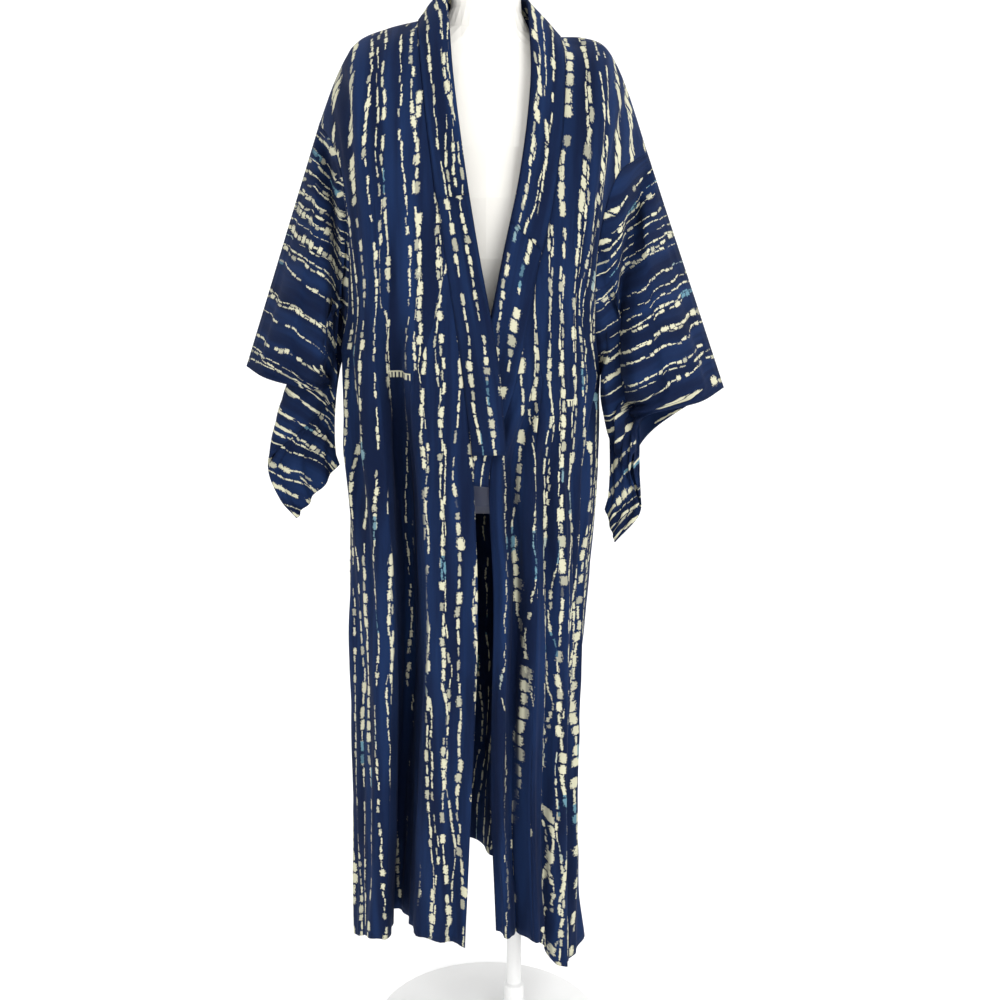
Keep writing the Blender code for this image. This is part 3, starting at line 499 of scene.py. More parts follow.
@dataclass(frozen=True)
class CrumpleField:
    """Soft uneven ridges, as a sum of waves laid out by a fixed seed."""

    seed: int
    wavelength: float
    stretch: float
    waves: int = 9
    lengths: Pair = (0.6, 1.8)
    leans: Pair = (-0.5, 0.5)
    bends: Pair = (0.3, 1.1)
    evening: float = 1.4

    def at(self, u: np.ndarray, v: np.ndarray) -> np.ndarray:
        """Height, mostly between -1 and 1, at places in cloth metres.

        Args:
            u: Distance across the cloth.
            v: Distance along the folds.

        Returns:
            The height at each place.
        """
        rng = np.random.default_rng(self.seed)
        total = np.zeros(np.broadcast(u, v).shape)
        for _ in range(self.waves):
            length = self.wavelength * rng.uniform(*self.lengths)
            lean = rng.uniform(*self.leans)
            phase = rng.uniform(0, 2 * math.pi)
            bend = rng.uniform(*self.bends)
            turn = 2 * math.pi / length
            wander = bend * np.sin(2 * math.pi * v / (self.stretch * length) + phase)
            total += np.sin(turn * (u + lean * v / self.stretch) + phase + wander)
        return total / math.sqrt(self.waves * self.evening)


# The robe's surfaces


def overlap_share(row: float) -> float:
    """Share of the front that is the overlap panel."""
    full = OVERLAP_WIDTH / (OVERLAP_WIDTH + FRONT_WIDTH)
    return full * float(np.clip((ROW_TIP - row) / (ROW_TIP - ROW_COLLAR_END), 0, 1))


def front_shares(row: float) -> np.ndarray:
    """Where the columns of the front lie, as shares of its width."""
    edge = overlap_share(row)
    inner = np.linspace(0, edge, OVERLAP_COLUMNS + 1)
    return np.concatenate([inner, np.linspace(edge, 1, FRONT_COLUMNS + 1)[1:]])


def back_shares() -> np.ndarray:
    """Where the columns of the back lie, from the centre seam to the side."""
    neck = NECK_HALF / PANEL_WIDTH
    inner = np.linspace(0, neck, NECK_COLUMNS + 1)
    return np.concatenate([inner, np.linspace(neck, 1, FRONT_COLUMNS + 1)[1:]])


def side_share(line: np.ndarray) -> float:
    """Share of an outline at which the side seam runs."""
    last = np.flatnonzero(line[:, 1] < SIDE_SEAM_Y)[-1]
    along = last + (SIDE_SEAM_Y - line[last, 1]) / (line[last + 1, 1] - line[last, 1])
    return float(np.interp(along, np.arange(len(line)), arc_shares(line[:, :2])))


def read_again(points: np.ndarray, row: float) -> np.ndarray:
    """A row of the front, read again at many even steps."""
    shares = front_shares(row)
    keep = np.concatenate([[True], np.diff(shares) > TINY])
    return read_at(points[keep], shares[keep], np.linspace(0, 1, ACROSS_POINTS))


def surface_between(
    inner: np.ndarray, outer: np.ndarray, bottom: np.ndarray, top: np.ndarray, fading: float
) -> np.ndarray:
    """Surface between four edges.

    Args:
        inner: Points of the edge nearer the centre.
        outer: Points of the edge nearer the arm.
        bottom: Points of the lower edge.
        top: Points of the upper edge.
        fading: How fast the upper edge's own bow fades downwards.

    Returns:
        The points, row by row.
    """
    w = np.linspace(0, 1, len(inner))[:, None, None]
    s = (1 - w) * arc_shares(bottom)[None, :, None] + w * arc_shares(top)[None, :, None]
    across = (1 - s) * inner[:, None] + s * outer[:, None]
    bow_low = bottom[None] - (1 - s) * bottom[0] - s * bottom[-1]
    bow_high = top[None] - (1 - s) * top[0] - s * top[-1]
    return across + bow_low * (1 - w) ** 2 + bow_high * w**fading


def bulged(grid: np.ndarray, amount: float, toward: float) -> np.ndarray:
    """A surface with its middle rounded out towards its top."""
    w = rounding(np.linspace(0, 1, grid.shape[0]))
    t = np.sin(np.linspace(0, math.pi, grid.shape[1]))
    grid = grid.copy()
    grid[:, :, 1] += toward * amount * w[:, None] * t[None, :]
    return grid


@dataclass
class Garment:
    """Grids of points for one side of the robe, with distances across its cloth."""

    plan: SidePlan
    chest_fading: float = 2
    back_fading: float = 5
    front: np.ndarray = field(init=False)
    back: np.ndarray = field(init=False)
    front_u: np.ndarray = field(init=False)
    back_u: np.ndarray = field(init=False)

    def __post_init__(self) -> None:
        """Works out the grids."""
        front_low, back_low, front_place, back_place = self._low()
        front_high = self._high_front(front_low[-1])
        back_high = self._high_back(back_low[-1])
        self.front = np.concatenate([front_low, front_high[1:]])
        self.back = np.concatenate([back_low, back_high[1:]])
        self.front_u = self._upward(front_place, front_high, self.plan.reference)
        self.back_u = self._upward(back_place, back_high, 0.0)

    def _upward(self, low: np.ndarray, high: np.ndarray, start: float) -> np.ndarray:
        """Carries the grain on from the armpit to the shoulder, along vertical lines.

        Args:
            low: Distance across the cloth of each point below the armpit.
            high: Points above the armpit.
            start: X at which the distance is 0.

        Returns:
            Distance across the cloth of every point.
        """
        across = high[:, :, 0] * self.plan.side.out - start
        fade = (1 + np.cos(math.pi * np.linspace(0, 1, len(high))[:, None])) / 2
        return np.concatenate([low, across[1:] + ((low[-1] - across[0]) * fade)[1:]])

    def _outline(self, z: float) -> np.ndarray:
        """Plan outline at a height, from the free front edge round to the centre back.

        Args:
            z: The height.

        Returns:
            Columns of x, y, distance along the cloth, and x before it is pleated.
        """
        levels = self.plan.levels
        values = [astuple(level)[1:] for level in levels]
        read = smooth_curve([level.z for level in levels], values, np.array([z]))[0]
        x_side, x_edge, y_front, y_back, middle, squareness = read
        out = self.plan.side.out
        half = abs(x_side - middle)
        start = (x_edge - middle) * out / half
        first = math.asin(float(signed_power(np.array(start), squareness / 2)))
        angle = np.linspace(first, math.pi, OUTLINE_POINTS)
        power = 2 / squareness
        x = middle + out * half * signed_power(np.sin(angle), power)
        y = (y_front + y_back) / 2 - (y_back - y_front) / 2 * signed_power(np.cos(angle), power)
        line = shared_out(np.stack([x, y], 1), np.linspace(0, 1, OUTLINE_POINTS))
        length = np.linalg.norm(np.diff(line, axis=0), axis=1).sum()
        place = np.linspace(0, length, OUTLINE_POINTS)
        return np.column_stack([line + self._push(line, place, z), place, line[:, 0]])

    def _push(self, line: np.ndarray, place: np.ndarray, z: float) -> np.ndarray:
        """How far the pleats push an outline's points.

        Args:
            line: The outline's points in plan.
            place: Distance of each along the cloth.
            z: The outline's height.

        Returns:
            A push in plan for each point.
        """
        run = np.gradient(line, axis=0)
        run /= np.linalg.norm(run, axis=1)[:, None]
        inward = np.stack([-run[:, 1], run[:, 0]], 1) * self.plan.side.out
        push = np.zeros_like(line)
        for pleat in self.plan.pleats + self.plan.folds:
            depth = float(smooth_curve(PLEAT_LEVELS, pleat.depths, np.array([z]))[0])
            off = np.abs(place - pleat.place)
            near = np.clip(off / pleat.half_width, 0, 1) ** pleat.breadth
            way = inward[np.argmin(off)] if pleat.way is None else pleat.way
            push += depth * 0.5 * (1 + np.cos(math.pi * near))[:, None] * np.array(way)
        return push

    def _nominal_z(self, row: float) -> float:
        """Height of a row, before the hem's rise and fall."""
        plan = self.plan
        heights = [plan.levels[0].z, plan.collar_end_z, plan.armpit_z]
        return float(np.interp(row, [0, ROW_COLLAR_END, ROW_ARMPIT], heights))

    def _hem_rise(self, row: float, shares: np.ndarray) -> np.ndarray:
        """The hem line's own rise and fall, fading upwards."""
        places, heights = zip(*self.plan.hem)
        rise = smooth_curve(places, heights, shares) - self.plan.levels[0].z
        return rise * max(0.0, 1 - row / ROW_COLLAR_END)

    def _low(self) -> tuple[np.ndarray, np.ndarray, np.ndarray, np.ndarray]:
        """Works out the cloth from the hem to the armpit.

        Returns:
            Points of the front and of the back, and distances across the cloth of each.
        """
        points, across = ([], []), ([], [])
        for row in LOW_ROWS:
            z = self._nominal_z(row)
            line = self._outline(z)
            reach = np.maximum.accumulate(line[:, 3] * self.plan.side.out)
            start = np.interp(self.plan.reference, reach, line[:, 2])
            split = side_share(line)
            ahead = split * front_shares(row)
            behind = 1 - (1 - split) * back_shares()
            for k, shares in enumerate((ahead, behind)):
                flat = shared_out(line, shares, True)
                points[k].append(np.column_stack([flat[:, :2], z + self._hem_rise(row, shares)]))
                across[k].append(flat[:, 2] - start if k == 0 else line[-1, 2] - flat[:, 2])
        front, back = np.array(points[0]), np.array(points[1])
        front[-1, -1, 1] -= ARMPIT_PARTING
        back[-1, -1, 1] += ARMPIT_PARTING
        return front, back, np.array(across[0]), np.array(across[1])

    def _high_front(self, bottom: np.ndarray) -> np.ndarray:
        """Front from the armpit to the shoulder ridge."""
        inner = flowing_curve(self.plan.collar_seam, HIGH_ROWS)
        inner[0] = bottom[0]
        share = (HIGH_ROWS - ROW_ARMPIT) / (ROW_RIDGE - ROW_ARMPIT)
        outer = flowing_curve(self.plan.armhole_front, share)
        outer[0] = bottom[-1]
        ridge = self.ridge_points()
        top = np.concatenate([np.repeat(ridge[:1], OVERLAP_COLUMNS, axis=0), ridge])
        low_line, top_line = read_again(bottom, ROW_ARMPIT), read_again(top, ROW_RIDGE)
        surface = surface_between(inner, outer, low_line, top_line, self.chest_fading)
        surface = bulged(surface, CHEST_EASE, Face.FRONT.value)
        rows = [shared_out(line, front_shares(row)) for line, row in zip(surface, HIGH_ROWS)]
        return np.array([bottom, *rows[1:-1], top])

    def _high_back(self, bottom: np.ndarray) -> np.ndarray:
        """Back from the armpit to the ridge and the back of the neck."""
        w = np.linspace(0, 1, len(HIGH_ROWS))
        inner = w[:, None] * (np.array(BACK_NECK) - bottom[0]) + bottom[0]
        inner[:, 1] += CENTRE_BACK_EASE * rounding(w)
        outer = flowing_curve(self.plan.armhole_back, w)
        outer[0] = bottom[-1]
        top = np.concatenate([self.neck_line()[:-1], self.ridge_points()])
        surface = surface_between(inner, outer, bottom, top, self.back_fading)
        surface = bulged(surface, BACK_EASE, Face.BACK.value)
        return np.array([bottom, *surface[1:-1], top])

    def ridge_points(self) -> np.ndarray:
        """Points along the shoulder ridge."""
        return flowing_curve(self.plan.ridge, np.linspace(0, 1, FRONT_COLUMNS + 1))

    def neck_line(self) -> np.ndarray:
        """Collar seam from the centre back to the shoulder."""
        shoulder = self.ridge_points()[0]
        turn = np.linspace(0, math.pi / 2, NECK_COLUMNS + 1)
        x = BACK_NECK[0] + (shoulder[0] - BACK_NECK[0]) * np.sin(turn)
        y = shoulder[1] + (BACK_NECK[1] - shoulder[1]) * np.cos(turn)
        z = BACK_NECK[2] + (shoulder[2] - BACK_NECK[2]) * np.sin(turn) ** 2
        return np.stack([x, y, z], 1)

    def collar_rows(self) -> np.ndarray:
        """Row values along this side's collar, from its end to the centre back."""
        steps = (ROW_RIDGE - ROW_COLLAR_END) * FINE + NECK_COLUMNS
        return np.linspace(ROW_COLLAR_END, ROW_RIDGE + NECK_ROWS, steps + 1)

    def collar_seam(self) -> np.ndarray:
        """Points of the collar's seam from its end to the centre back."""
        at_end, at_tip = ROW_COLLAR_END * FINE, ROW_TIP * FINE
        below = self.front[at_end : at_tip + 1, 0]
        above = self.front[at_tip + 1 :, OVERLAP_COLUMNS]
        return np.concatenate([below, above, self.neck_line()[-2::-1]])


@dataclass(frozen=True)
class Lie:
    """Where a sleeve layer's points lie beside the body."""

    aside: np.ndarray
    share: np.ndarray
    width: np.ndarray


@dataclass
class SleeveShape:
    """Grid of a sleeve bag: from armhole to cuff, and round the bag from its foot.

    A drop is the distance down from the shoulder along the armhole or the cuff, and
    u goes from 0 at the armhole to 1 at the cuff. A pair is a ramp from 0 to 1, or it
    holds a number for the front layer and one for the back.
    """

    garment: Garment
    columns: int = 84
    tail_points: int = 12
    outline_heights: int = 40
    path_points: int = 600
    least_width: float = 0.004

    # Cloth that swings out beside the armpit, by u and by drop
    swing_across: Pair = (0.0, 0.1)
    swing_start: Pair = (0.15, 0.25)
    swing_end: Pair = (0.45, 0.41)

    # Front and back layers, parted
    bellies: Pair = (0.030, 0.026)
    belly_lean: float = 1.1
    parting: float = 0.0034
    parting_start: Pair = (0.0, 0.06)
    parting_turn: Pair = (0.20, 0.30)
    crumple: Triple = (0.0016, 0.060, 3.0)  # height, length and stretch
    crumple_rise: float = 8

    # Front layer, folded back to the body
    fold_back: float = 0.030
    fold_back_start: Pair = (0.165, 0.215)
    fold_back_end: Pair = (0.44, 0.36)
    fold_back_reach: float = 1.05

    # Valley beside the body
    valley: float = 0.050
    valley_width: float = 0.013
    valley_share: float = 0.42
    valley_start: Pair = (0.0, 0.05)

    # Folds that lean across the sleeve
    folds: float = 3.0
    lean: float = 1.9
    depth: float = 0.30
    fold_start: Pair = (0.0, 0.2)
    top_weights: Pair = (0.35, 1.15)
    low_weight: float = 1.1
    weight_change: Pair = (0.15, 0.24)
    calm: float = 0.72
    calm_start: Pair = (0.29, 0.36)

    # Cloth coordinates
    kept_turn: float = 0.6
    turn_down: float = 0.050
    turn_reach: float = 0.035
    fall: float = 0.35

    # Creases, which fade towards their ends, the seams and the closed cuff
    crease_ends: float = 0.6
    crease_rise: float = 1.5
    crease_start: Pair = (0.0, 0.35)
    crease_foot: Pair = (SLEEVE_DROP, SLEEVE_DROP - 0.04)
    crease_top: Pair = (0.0, 0.03)
    crease_cuff: Pair = (1.0, 0.7)
    cuff_margin: float = 0.03

    def build(self) -> tuple[np.ndarray, np.ndarray]:
        """Works out the sleeve bag.

        Returns:
            The points and their cloth coordinates.
        """
        plan = self.garment.plan
        first = ROW_ARMPIT * FINE
        grids = {Face.FRONT: self.garment.front, Face.BACK: self.garment.back}
        edges = {face: grid[first:, -1] for face, grid in grids.items()}
        foot, foot_drop = self._foot((edges[Face.FRONT][0] + edges[Face.BACK][0]) / 2)
        drop = np.concatenate([foot_drop, np.linspace(ARMHOLE_DROP, 0, len(edges[Face.FRONT]))])
        cuffs = self._cuffs(drop)
        u = np.linspace(0, 1, self.columns + 1)[:, None]
        layers = {}
        for face, edge in edges.items():
            inner = np.concatenate([foot, edge])
            layers[face] = self._flat_layer(inner, cuffs[face], u, drop)
        inner = np.concatenate([foot, (edges[Face.FRONT] + edges[Face.BACK]) / 2])
        self._part(layers, u, drop)
        apart_y = layers[Face.BACK][:, :, 1] - layers[Face.FRONT][:, :, 1]
        valley = np.clip(self.valley_share * apart_y, 0, self.valley)
        valley = valley * smooth_ramp(u, *self.valley_start)
        cloth = {}
        for (face, grid), top in zip(layers.items(), self.top_weights):
            lie = self._lie(grid, inner, cuffs[Face.FRONT])
            cloth[face] = self._cloth_at(grid, inner[-1], cuffs[Face.FRONT][-1], lie)
            off = (lie.aside - plan.valley_place) / self.valley_width
            grid[:, :, 1] -= face.value * (np.exp(-(off**2)) * valley)
            weight = top + (self.low_weight - top) * smooth_ramp(drop, *self.weight_change)
            weight = weight * (1 - self.calm * smooth_ramp(drop, *self.calm_start))
            wave = np.sin(2 * math.pi * self.folds * lie.share) * smooth_ramp(u, *self.fold_start)
            push = lie.width / self.folds * wave * weight[None, :]
            grid[:, :, 0] += plan.side.out * self.lean / (2 * math.pi) * push
            grid[:, :, 1] += self.depth * push
        points = np.concatenate([layers[Face.FRONT], layers[Face.BACK][:, -2::-1]], axis=1)
        turned = cloth[Face.BACK][:, -2::-1] * np.array([1.0, -1.0])
        return points, np.concatenate([cloth[Face.FRONT], turned], axis=1)

    def _foot(self, armpit: np.ndarray) -> tuple[np.ndarray, np.ndarray]:
        """Points from the tail's tip up to the armpit, and the drop of each."""
        steps = np.linspace(1, 0, self.tail_points + 1)[:-1, None]
        swing = np.array([math.copysign(TAIL_SWING, armpit[0]), 0, 0])
        tail = np.array(self.garment.plan.sleeve_tail)
        foot = armpit + (tail - armpit) * steps + swing * np.sin(math.pi * steps) ** 0.5
        return foot, ARMHOLE_DROP + (SLEEVE_DROP - ARMHOLE_DROP) * steps[:, 0]

    def _cuffs(self, drop: np.ndarray) -> dict[Face, np.ndarray]:
        """Points of the cuff's front and back edges, joined below its opening."""
        plan = self.garment.plan
        front = flowing_curve(plan.cuff_front, drop)
        opened = flowing_curve(plan.cuff_back, np.clip(drop, None, CUFF_OPENING))
        back = np.where((drop >= CUFF_OPENING)[:, None], front, opened)
        return {Face.FRONT: front, Face.BACK: back}

    def _flat_layer(
        self, inner: np.ndarray, cuff: np.ndarray, u: np.ndarray, drop: np.ndarray
    ) -> np.ndarray:
        """Straight cloth between armhole and cuff, swung out beside the armpit."""
        grid = (1 - u)[:, :, None] * inner[None] + u[:, :, None] * cuff[None]
        lift = ramp(drop, *self.swing_start) * ramp(drop, *self.swing_end)
        sideways = TAIL_SWING * ramp(u, *self.swing_across) * (1 - u) * lift
        grid[:, :, 0] += self.garment.plan.side.out * sideways
        return grid

    def _part(self, layers: dict[Face, np.ndarray], u: np.ndarray, drop: np.ndarray) -> None:
        """Parts the layers, creases them and folds the front one back to the body.

        Args:
            layers: Points of the two layers, which are changed.
            u: Share of the way to the cuff.
            drop: Drop of each column of points.
        """
        plan = self.garment.plan
        apart = self._parting_way((layers[Face.FRONT] + layers[Face.BACK]) / 2, drop)
        full = np.sin(math.pi * u**self.belly_lean) * np.sin(math.pi * ramp(drop, 0, SLEEVE_DROP))
        sewn = ramp(drop, *self.parting_start)[None, :] * self.parting / 2
        height, *waves = self.crumple
        crumple = CrumpleField(plan.sleeve.folds, *waves)
        for face, belly in zip(Face, self.bellies):
            push = full * belly + sewn
            for crease in plan.creases[face]:
                push = push - self._crease_depth(crease, u, drop[None, :])
            rough = crumple.at(drop[None, :] + face.value, u * SLEEVE_WIDTH)
            push = push + height * rough * np.clip(u * (1 - u) * self.crumple_rise, 0, 1)
            layers[face] = layers[face] + face.value * push[:, :, None] * apart
        behind = smooth_ramp(drop, *self.fold_back_start) * smooth_ramp(drop, *self.fold_back_end)
        across = np.sin(math.pi * np.clip(u * self.fold_back_reach, 0, 1))
        layers[Face.FRONT][:, :, 1] += self.fold_back * behind[None, :] * across

    def _reach(self, outline: np.ndarray, height: float) -> float:
        """Furthest distance out at which an outline passes a height."""
        below, above = outline[:-1], outline[1:]
        low = np.minimum(below[:, 2], above[:, 2]) - LEVEL
        high = np.maximum(below[:, 2], above[:, 2]) + LEVEL
        hit = np.flatnonzero((low <= height) & (height <= high))
        a, b = below[hit], above[hit]
        rise = np.where(np.abs(b[:, 2] - a[:, 2]) < LEVEL, 1.0, b[:, 2] - a[:, 2])
        part = np.clip((height - a[:, 2]) / rise, 0, 1)
        return ((a[:, 0] + part * (b[:, 0] - a[:, 0])) * self.garment.plan.side.out).max()

    def _lie(self, grid: np.ndarray, inner: np.ndarray, cuff: np.ndarray) -> Lie:
        """Where points lie between the body's side and the sleeve's outline.

        Args:
            grid: Points of one layer.
            inner: Points of the armhole side.
            cuff: Points of the cuff side.

        Returns:
            Distance from the body's side, its share of the width, and the width.
        """
        out = self.garment.plan.side.out
        z = grid[:, :, 2]
        order = np.argsort(inner[:, 2])
        near = np.interp(z, inner[order, 2], inner[order, 0] * out)
        outline = np.concatenate([cuff, inner[-1:]])
        heights = np.linspace(outline[:, 2].min(), outline[:, 2].max(), self.outline_heights)
        reach = [self._reach(outline, height) for height in heights]
        width = np.maximum(np.interp(z, heights, reach) - near, self.least_width)
        aside = np.maximum(grid[:, :, 0] * out - near, 0)
        return Lie(aside, np.clip(aside / width, 0, 1), width)

    def _cloth_at(
        self, grid: np.ndarray, start: np.ndarray, corner: np.ndarray, lie: Lie
    ) -> np.ndarray:
        """Cloth coordinates of a layer: along the top fold, and square to it.

        Args:
            grid: Points of one layer before it is folded.
            start: Top of the armhole.
            corner: Top corner of the cuff.
            lie: Where the points lie beside the body.

        Returns:
            The coordinates, which turn downwards beside the body.
        """
        out = self.garment.plan.side.out
        run = (corner - start)[[0, 2]]
        run /= np.linalg.norm(run)
        square = np.array([-out * abs(run[1]), -abs(run[0])])
        flat = grid[:, :, [0, 2]] - start[[0, 2]]
        turn = np.linspace(0, 2 * math.pi * self.folds, self.path_points)
        sideways = 1 + self.lean * np.cos(turn) * self.kept_turn
        deep = 2 * math.pi * self.depth * np.cos(turn) * self.kept_turn
        path = np.concatenate([[0.0], np.cumsum(np.hypot(sideways, deep))[:-1]]) / len(turn)
        extra = (path[-1] - np.interp(lie.share, np.linspace(0, 1, len(turn)), path)) * lie.width
        along = flat @ run - self.turn_down * np.exp(-lie.aside / self.turn_reach)
        return np.stack([along, flat @ square * self.fall + extra], axis=2)

    def _parting_way(self, middle: np.ndarray, drop: np.ndarray) -> np.ndarray:
        """Way in which front and back part."""
        normal = grid_normals(middle)
        normal *= np.sign(normal[:, len(drop) // 2, 1].mean())
        low = ramp(drop, *self.parting_turn)[None, :, None]
        normal = normal * low + np.array([0.0, 1.0, 0.0]) * (1 - low)
        return normal / np.linalg.norm(normal, axis=2)[:, :, None]

    def _crease_depth(self, crease: Crease, u: np.ndarray, v: np.ndarray) -> np.ndarray:
        """Depth of a crease at points of the flat sleeve."""
        run = np.array([(crease.u1 - crease.u0) * SLEEVE_WIDTH, crease.v1 - crease.v0])
        length = np.linalg.norm(run)
        run /= length
        du, dv = (u - crease.u0) * SLEEVE_WIDTH, v - crease.v0
        along = (du * run[0] + dv * run[1]) / length
        off = np.abs(dv * run[0] - du * run[1]) / crease.half_width
        profile = 0.5 * (1 + np.cos(math.pi * np.clip(off, 0, 1)))
        ends = np.sin(math.pi * np.clip(along, 0, 1)) ** self.crease_ends
        seam = ramp(u, *self.crease_start) ** self.crease_rise
        seam = seam * ramp(v, *self.crease_foot) * ramp(v, *self.crease_top)
        shut = np.where(v > CUFF_OPENING - self.cuff_margin, ramp(u, *self.crease_cuff), 1.0)
        return crease.depth * profile * ends * seam * shut


# Finishes


@dataclass(frozen=True)
class Dashes:
    """One set of dashed lines: sizes in metres, and the share of lines left out."""

    pitch: float
    length: float
    width: float
    absent: float
    seed: float


@dataclass(frozen=True)
class DashShape:
    """How the dashes of every set vary."""

    # Scales of noise, across the lines and along them
    wander_scale: Pair = (3.7, 5.0)
    sway_scale: Pair = (9.1, 22.0)

    # Factor and start for a random share
    middle: Pair = (0.30, 0.35)
    wander: Pair = (0.56, -0.28)
    stretch: Pair = (0.7, 0.7)
    line_width: Pair = (0.75, 0.35)
    dash_width: Pair = (1.3, 0.36)
    shift: Pair = (0.0034, -0.0017)
    tear: Pair = (170.0, 0.55)
    reach: Pair = (0.12, 0.36)
    pale: Pair = (0.45, 0.55)

    # Ramps from 0 to 1
    rim: Pair = (1.38, 0.62)
    missing: Pair = (0.10, 0.12)
    pale_ramp: Pair = (0.0, 0.45)
    absent_width: float = 0.02

    # Steps between seeds, shifts and powers
    seed_steps: Pair = (5.0, 3.0)
    offset: float = 17.0
    sway: float = 1.1
    width_power: float = 1.6
    roundness: Pair = (2.0, 6.0)


@dataclass(frozen=True)
class Tuck:
    """A short undyed line across the cloth with small strokes hanging from it."""

    across: float
    along: float
    length: float
    end: float = 0.001
    line_edge: Pair = (0.0014, 0.0006)
    stroke_pitch: float = 0.0052
    stroke_edge: Pair = (0.34, 0.22)
    stroke_start: Pair = (0.0, 0.0006)
    stroke_end: Pair = (0.0105, 0.0085)


@dataclass(frozen=True)
class DyeFinish:
    """Stitch-resist dyed cotton: cream dashes in lines along the warp."""

    name: str = "indigo_cotton"

    # Colours
    indigo: Colour = (0.0030, 0.0084, 0.0320)
    indigo_light: Colour = (0.0074, 0.0220, 0.0750)
    cream: Colour = (0.560, 0.545, 0.395)
    teal: Colour = (0.110, 0.230, 0.290)

    # Dashed lines, how far they drift and how ragged they are
    broad: Dashes = Dashes(0.0260, 0.018, 0.0033, 0.21, 11.0)
    thin: Dashes = Dashes(0.0150, 0.018, 0.0014, 0.50, 37.0)
    dash: DashShape = DashShape()
    drift: float = 0.050
    drift_scale: Pair = (9.0, 3.4)
    swing: float = 0.060
    swing_scale: Pair = (7.0, 3.9)
    raggedness: float = 0.0076
    ragged_scale: Triple = (1.5, 330.0, 4.0)  # stretch across, scale and detail

    # Streaks in the ground, and the share of dashes that took some dye
    streak_scale: Pair = (40.0, 3.0)
    streak_tone: Pair = (0.35, 0.75)
    teal_patch: Pair = (60.0, 26.0)
    teal_share: Pair = (0.965, 0.985)

    # Gloss
    roughness: float = 0.88
    specular: float = 0.10
    sheen: float = 0.03
    sheen_roughness: float = 0.5
    sheen_tint: Colour = (0.35, 0.45, 0.90)

    # Weave, slubs and raised dashes
    warp_pitch: float = 0.0011
    weft_pitch: float = 0.0013
    slub_scale: Pair = (900.0, 160.0)
    weave_height: float = 0.15
    dash_height: float = 0.35
    bump_strength: float = 0.35
    bump_depth: float = 0.0006


@dataclass(frozen=True)
class PaintFinish:
    """A smooth painted surface, with a dark colour below a given height that is painted shade."""

    name: str
    color: Colour
    roughness: float
    mottle: float
    coat: float
    # Painted shade: below this height the surface takes this dark colour
    shade_height: float | None = None
    shade_color: Colour = (0.10, 0.12, 0.22)
    mottle_scale: float = 9.0
    mottle_tone: Pair = (0.3, 0.7)
    bump_scale: float = 320.0
    bump_strength: float = 0.08
    bump_depth: float = 0.0006


def math_node(operation: str) -> Callable[..., Signal]:
    """A method that puts one math node on a number."""

    def method(self: Signal, *others: object) -> Signal:
        """Works the operation on the number and the others."""
        return self.sketch.math(operation, self, *others)

    return method


class Signal:
    """A number that a material works out, which takes the usual signs of sums."""

    __add__ = math_node("ADD")
    __sub__ = math_node("SUBTRACT")
    __mul__ = math_node("MULTIPLY")
    __truediv__ = math_node("DIVIDE")
    __pow__ = math_node("POWER")
    __abs__ = math_node("ABSOLUTE")
    scaled = math_node("MULTIPLY_ADD")
    at_least = math_node("MAXIMUM")
    floor = math_node("FLOOR")
    fract = math_node("FRACT")
    sine = math_node("SINE")

    def __init__(self, sketch: NodeSketch, socket: bpy.types.NodeSocket) -> None:
        """Keeps the socket, and the sketch that it is in."""
        self.sketch = sketch
        self.socket = socket

    def ramp(self, low: object, high: object) -> Signal:
        """Smooth ramp from 0 at low to 1 at high."""
        node = self.sketch.node("ShaderNodeMapRange", interpolation_type="SMOOTHSTEP")
        for name, value in (("Value", self), ("From Min", low), ("From Max", high)):
            self.sketch.link(value, node.inputs[name])
        return Signal(self.sketch, node.outputs[0])


